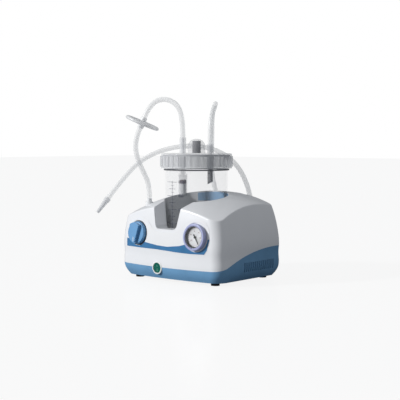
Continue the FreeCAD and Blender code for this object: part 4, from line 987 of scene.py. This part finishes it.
@dataclass
class GaugeFace:
    """Printed scale, spindle cap and a black cone in the bezel, whose black is painted shade for
    the bezel's shaded inner wall.
    """

    start: float = -57.0
    sweep: float = 270.0
    divisions: int = 20
    long_every: int = 4
    red_from: float = 0.8
    whole_arc: int = 60
    overlap: float = 1.04
    outer: float = 0.0172
    face: float = 0.00085
    long_tick: float = 0.0028
    long_width: float = 0.00042
    short_tick: float = 0.0016
    short_width: float = 0.00026
    tick_depth: float = 0.00006
    number_size: float = 0.0031
    number_inset: float = 0.0058
    number_depth: float = 0.00003
    band_depth: float = 0.00005
    band_radius: float = 0.0178
    band_width: float = 0.0006
    line_radius: float = 0.01695
    line_width: float = 0.00022
    # Sizes of the black cone inside the bezel, whose black is painted shade.
    shade_cone_level: float = 0.0009
    shade_cone_wall: float = 0.00025
    cap_radius: float = 0.0019
    cap_depth: float = 0.0008
    cap_level: float = 0.0036
    cap_round: float = 0.00025
    shade_cone_rise: float = 0.0052
    shade_cone_foot: float = 0.0174
    shade_cone_head: float = 0.0191
    numerals: tuple[str, ...] = ("0", "20", "40", "60", "80", "100")

    def around(self, share: float, radius: float) -> Matrix:
        """Place on the dial at a share of the sweep, with +X pointing outward."""
        turn = math.radians(self.start + self.sweep * share)
        spot = (radius * math.cos(turn), radius * math.sin(turn), self.face)
        return Matrix.Translation(spot) @ Matrix.Rotation(turn, 4, "Z")

    def ticks(self) -> bpy.types.Object:
        """Long and short strokes of the scale, as one piece."""
        strokes = []
        for index in range(self.divisions + 1):
            long = index % self.long_every == 0
            length = self.long_tick if long else self.short_tick
            width = self.long_width if long else self.short_width
            stroke = Workshop.bar(length, width, self.tick_depth, (0.0, 0.0, 0.0))
            place = self.around(index / self.divisions, self.outer - length / 2)
            strokes.append(Workshop.lay(stroke, place))
        return Workshop.join("dial_ticks", strokes)

    def arc(self, name: str, first: float, last: float, radius: float,
            width: float) -> bpy.types.Object:
        """Printed band that follows the scale.

        Args:
            name: The piece's name.
            first: Share of the sweep where it starts.
            last: Share where it ends.
            radius: Its middle radius.
            width: Its width.

        Returns:
            The band.
        """
        pieces = []
        steps = max(6, int(self.whole_arc * (last - first)))
        length = math.radians(self.sweep) * (last - first) / steps * radius * self.overlap
        for index in range(steps):
            share = first + (last - first) * (index + 0.5) / steps
            piece = Workshop.bar(width, length, self.band_depth, (0.0, 0.0, 0.0))
            pieces.append(Workshop.lay(piece, self.around(share, radius)))
        return Workshop.join(name, pieces)

    def numbers(self) -> bpy.types.Object:
        """Plain numbers of the scale, upright, as one piece."""
        pieces = []
        for index, text in enumerate(self.numerals):
            share = index / (len(self.numerals) - 1)
            piece = Workshop.numeral(text, self.number_size, self.number_depth)
            spot = self.around(share, self.outer - self.number_inset).translation
            pieces.append(Workshop.lay(piece, Matrix.Translation(spot)))
        return Workshop.join("dial_numbers", pieces)

    def painted_shade_cone(self) -> bpy.types.Object:
        """Black cone in the bezel between the dial and the lens, wider toward the lens: painted
        shade that stands in for the shadow on the bezel's inner wall.

        Returns:
            The cone.
        """
        Workshop.clear()
        bpy.ops.mesh.primitive_circle_add(vertices=96, radius=self.shade_cone_foot,
                                          fill_type="NOTHING",
                                          location=(0.0, 0.0, self.shade_cone_level))
        piece = Workshop.settle(Workshop.latest("dial_painted_shade_cone"))
        Workshop.extrude(piece, self.shade_cone_rise)
        middle = self.shade_cone_level + self.shade_cone_rise / 2
        wider = self.shade_cone_head / self.shade_cone_foot
        Workshop.reshape(piece, lambda spot: spot if spot.z < middle else
                         Vector((spot.x * wider, spot.y * wider, spot.z)))
        Workshop.apply(piece, "SOLIDIFY", thickness=self.shade_cone_wall, offset=0.0)
        Workshop.outward(piece)
        Workshop.smooth(piece)
        return piece

    def cap(self) -> bpy.types.Object:
        """Domed cap over the needle's spindle."""
        Workshop.clear()
        bpy.ops.mesh.primitive_cylinder_add(vertices=32, radius=self.cap_radius,
                                            depth=self.cap_depth,
                                            location=(0.0, 0.0, self.cap_level))
        piece = Workshop.settle(Workshop.latest("needle_cap"))
        Workshop.round_edges(piece, self.cap_round)
        return piece

    def build(self) -> None:
        """Make the printed scale and its trim and put them on the gauge's axis."""
        place = HousingPlaces.on_control(HousingPlaces.gauge_x)
        band = self.arc("dial_red_band", self.red_from, 1.0, self.band_radius, self.band_width)
        line = self.arc("dial_line", 0.0, 1.0, self.line_radius, self.line_width)
        for piece, finish, slot, body in (
            (self.ticks(), Finishes.INK_DIAL, Slot.NEEDLE, Body.HOUSING),
            (self.numbers(), Finishes.INK_DIAL, Slot.NEEDLE, Body.HOUSING),
            (band, Finishes.INK_RED, Slot.DIAL, Body.HOUSING),
            (line, Finishes.INK_DIAL, Slot.NEEDLE, Body.HOUSING),
            # Painted shade: the black cone stands in for the shadow inside the bezel.
            (self.painted_shade_cone(), Finishes.BEZEL_PAINTED_SHADE, Slot.NEEDLE, Body.HOUSING),
            (self.cap(), Finishes.NEEDLE, Slot.NEEDLE, Body.NEEDLE),
        ):
            Workshop.lay(piece, place)
            Workshop.dress(piece, finish, slot, body)


# --- jar scale


@dataclass
class JarScale:
    """Printed measure on the front of the jar."""

    radius: float = 0.06012
    top: float = 184.6
    step: float = 12.79
    line_angle: float = -8.3
    marks: int = 10
    thickness: float = 0.00012
    line_half_angle: float = 0.35
    line_above: float = 0.002
    wide_mark: tuple[float, float] = (-24.0, 3.0)
    mark: tuple[float, float] = (-18.0, -1.0)
    half_mark: tuple[float, float] = (-13.0, -4.0)
    mark_half: float = 0.0003
    half_mark_half: float = 0.0002
    number_size: float = 0.0072
    number_angle: float = 11.5

    def wrap(self, spot: Vector) -> Vector:
        """Bend a flat print round the jar: X runs round it, Y up, Z outward."""
        angle = spot.x / self.radius
        reach = self.radius + spot.z
        middle = Vector(sunk(0.0, HousingPlaces.jar_axis_y, 0.0))
        return middle + Vector((reach * math.sin(angle), -reach * math.cos(angle), spot.y))

    def along(self, degrees: float) -> float:
        """Distance round the jar from its front to an angle."""
        return math.radians(degrees) * self.radius

    def flat_bar(self, left: float, right: float, low: float, high: float) -> bpy.types.Object:
        """One stroke of the print, finely divided so that it can bend.

        Args:
            left: Its left end in degrees round the jar.
            right: Its right end in degrees.
            low: Its foot in metres.
            high: Its head in metres.

        Returns:
            The flat stroke.
        """
        Workshop.clear()
        x0, x1 = self.along(left), self.along(right)
        bpy.ops.mesh.primitive_grid_add(x_subdivisions=max(2, int((right - left) / 1.5)),
                                        y_subdivisions=2, size=1.0)
        piece = bpy.context.object
        piece.scale = (x1 - x0, high - low, 1.0)
        piece.location = ((x0 + x1) / 2, (low + high) / 2, 0.0)
        Workshop.settle(piece)
        Workshop.extrude(piece, self.thickness)
        Workshop.outward(piece)
        return piece

    def build(self) -> None:
        """Make the ticks, the upright line and the numbers, and bend them round the jar."""
        pieces = []
        foot = (self.top - self.step * (self.marks - 1)) * MILLIMETRE
        pieces.append(self.flat_bar(self.line_angle - self.line_half_angle,
                                    self.line_angle + self.line_half_angle, foot,
                                    self.top * MILLIMETRE + self.line_above))
        for index in range(self.marks):
            height = (self.top - self.step * index) * MILLIMETRE
            wide = index % 2 == 0
            left, right = self.wide_mark if wide else self.mark
            pieces.append(self.flat_bar(left, right, height - self.mark_half,
                                        height + self.mark_half))
            half = height - self.step * MILLIMETRE / 2
            if index < self.marks - 1:
                pieces.append(self.flat_bar(*self.half_mark, half - self.half_mark_half,
                                            half + self.half_mark_half))
        for index in range(0, self.marks, 2):
            text = str((self.marks - index) * 100)
            height = (self.top - self.step * index) * MILLIMETRE
            number = Workshop.numeral(text, self.number_size, self.thickness / 2)
            place = (self.along(self.number_angle), height, self.thickness / 2)
            pieces.append(Workshop.lay(number, Matrix.Translation(place)))
        scale = Workshop.join("jar_scale_print", pieces)
        Workshop.reshape(scale, self.wrap)
        Workshop.dress(scale, Finishes.INK_DARK, Slot.NEEDLE, Body.JAR)


# --- small trim


@dataclass
class SwitchMarks:
    """Raised bar and ring on the green rocker."""

    face: float = 0.00105
    lean: float = 97.0
    bar_width: float = 0.0008
    bar_height: float = 0.0036
    bar_depth: float = 0.0002
    bar_above: float = 0.0035
    ring_radius: float = 0.0016
    ring_thickness: float = 0.00035
    ring_below: float = 0.0038

    def build(self) -> None:
        """Make both marks on the tilted face of the rocker."""
        bar = Workshop.bar(self.bar_width, self.bar_height, self.bar_depth,
                           (0.0, self.bar_above, self.face))
        Workshop.clear()
        bpy.ops.mesh.primitive_torus_add(
            major_radius=self.ring_radius, minor_radius=self.ring_thickness,
            major_segments=32, minor_segments=8, location=(0.0, -self.ring_below, self.face))
        ring = Workshop.settle(bpy.context.object)
        marks = Workshop.join("rocker_marks", [bar, ring])
        x, y, z = HousingPlaces.switch
        turn = Matrix.Rotation(math.radians(self.lean), 4, "X")
        Workshop.lay(marks, Matrix.Translation(sunk(x, y, z)) @ turn)
        Workshop.smooth(marks)
        Workshop.dress(marks, Finishes.INK_PALE, Slot.WHITE, Body.ROCKER)


@dataclass
class KnobMark:
    """White pointer line on the knob's blade."""

    face: float = 0.01505
    width: float = 0.0012
    length: float = 0.0085
    depth: float = 0.00012
    reach: float = 0.0125

    def build(self) -> None:
        """Lay the line at the narrow end of the blade."""
        line = Workshop.bar(self.width, self.length, self.depth, (0.0, -self.reach, self.face))
        line.name = "knob_pointer"
        Workshop.lay(line, HousingPlaces.on_control(HousingPlaces.knob_x))
        Workshop.dress(line, Finishes.INK_WHITE, Slot.WHITE, Body.KNOB)


@dataclass
class LidTrim:
    """Valve block inside the clear dome, and the dark ring under the lid's rim."""

    block_share: float = 0.47
    block_rise: float = 0.84
    block_lift: float = 0.0006
    block_round: float = 0.0012
    ring_radius: float = 0.06235
    ring_foot: float = 205.7
    ring_height: float = 0.0026
    ring_depth: float = 0.0008
    ring_round: float = 0.0002

    def block(self) -> bpy.types.Object:
        """Grey round block with softened edges that stands inside the dome.

        Returns:
            The block.
        """
        low, high = (Vector(corner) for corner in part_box("valve_dome"))
        middle = (low + high) / 2
        radius = (high.x - low.x) / 2 * self.block_share
        rise = (high.z - low.z) * self.block_rise
        Workshop.clear()
        bpy.ops.mesh.primitive_cylinder_add(
            vertices=48, radius=radius, depth=rise,
            location=(middle.x, middle.y, low.z + self.block_lift + rise / 2))
        piece = Workshop.settle(Workshop.latest("dome_block"))
        Workshop.round_edges(piece, self.block_round)
        return piece

    def ring(self) -> bpy.types.Object:
        """Dark ring round the jar's bead, just under the lid's ribbed rim.

        Returns:
            The ring.
        """
        Workshop.clear()
        bpy.ops.mesh.primitive_circle_add(
            vertices=128, radius=self.ring_radius, fill_type="NOTHING",
            location=sunk(0.0, HousingPlaces.jar_axis_y, self.ring_foot))
        piece = Workshop.settle(Workshop.latest("jar_rim_ring"))
        Workshop.extrude(piece, self.ring_height)
        Workshop.outward(piece)
        Workshop.apply(piece, "SOLIDIFY", thickness=self.ring_depth, offset=-1.0)
        Workshop.apply(piece, "BEVEL", width=self.ring_round, segments=2)
        Workshop.smooth(piece)
        return piece

    def build(self) -> None:
        """Make both and set them on the lid and the jar."""
        Workshop.dress(self.block(), Finishes.DOME, Slot.DOME, Body.LID)
        Workshop.dress(self.ring(), Finishes.RING, Slot.DOME, Body.JAR)


# --- whole part


class Aspirator:
    """The dressed part: finishes on the constructed pieces, and the pieces made here."""

    def __init__(self) -> None:
        """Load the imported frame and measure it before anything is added."""
        self.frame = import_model()
        self.solid_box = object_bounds()

    def dress_nodes(self) -> None:
        """Give every constructed piece its finish."""
        for finish, names in FINISHED_NODES:
            material = finish.build()
            for name in names:
                node = self.frame["nodes"].get(name)
                if node is None:
                    LOG.warning("%s isn't in the packed frame", name)
                    continue
                for slot in node.material_slots:
                    slot.material = material
                LOG.info("%s has %s", name, finish.name)

    def write_size(self) -> None:
        """Bring the view layer up to date."""
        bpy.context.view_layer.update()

    def build(self) -> None:
        """Studio and tubes first, then the finishes and the trim."""
        Studio().build()
        Tubing().build(self.frame)
        self.dress_nodes()
        FrontLabel().build(self.frame)
        GaugeFace().build()
        JarScale().build()
        LidTrim().build()
        SwitchMarks().build()
        KnobMark().build()
        self.write_size()


def main() -> None:
    """Build the dressed part."""
    logging.basicConfig(level=logging.INFO)
    Aspirator().build()


if __name__ == "__main__":
    main()
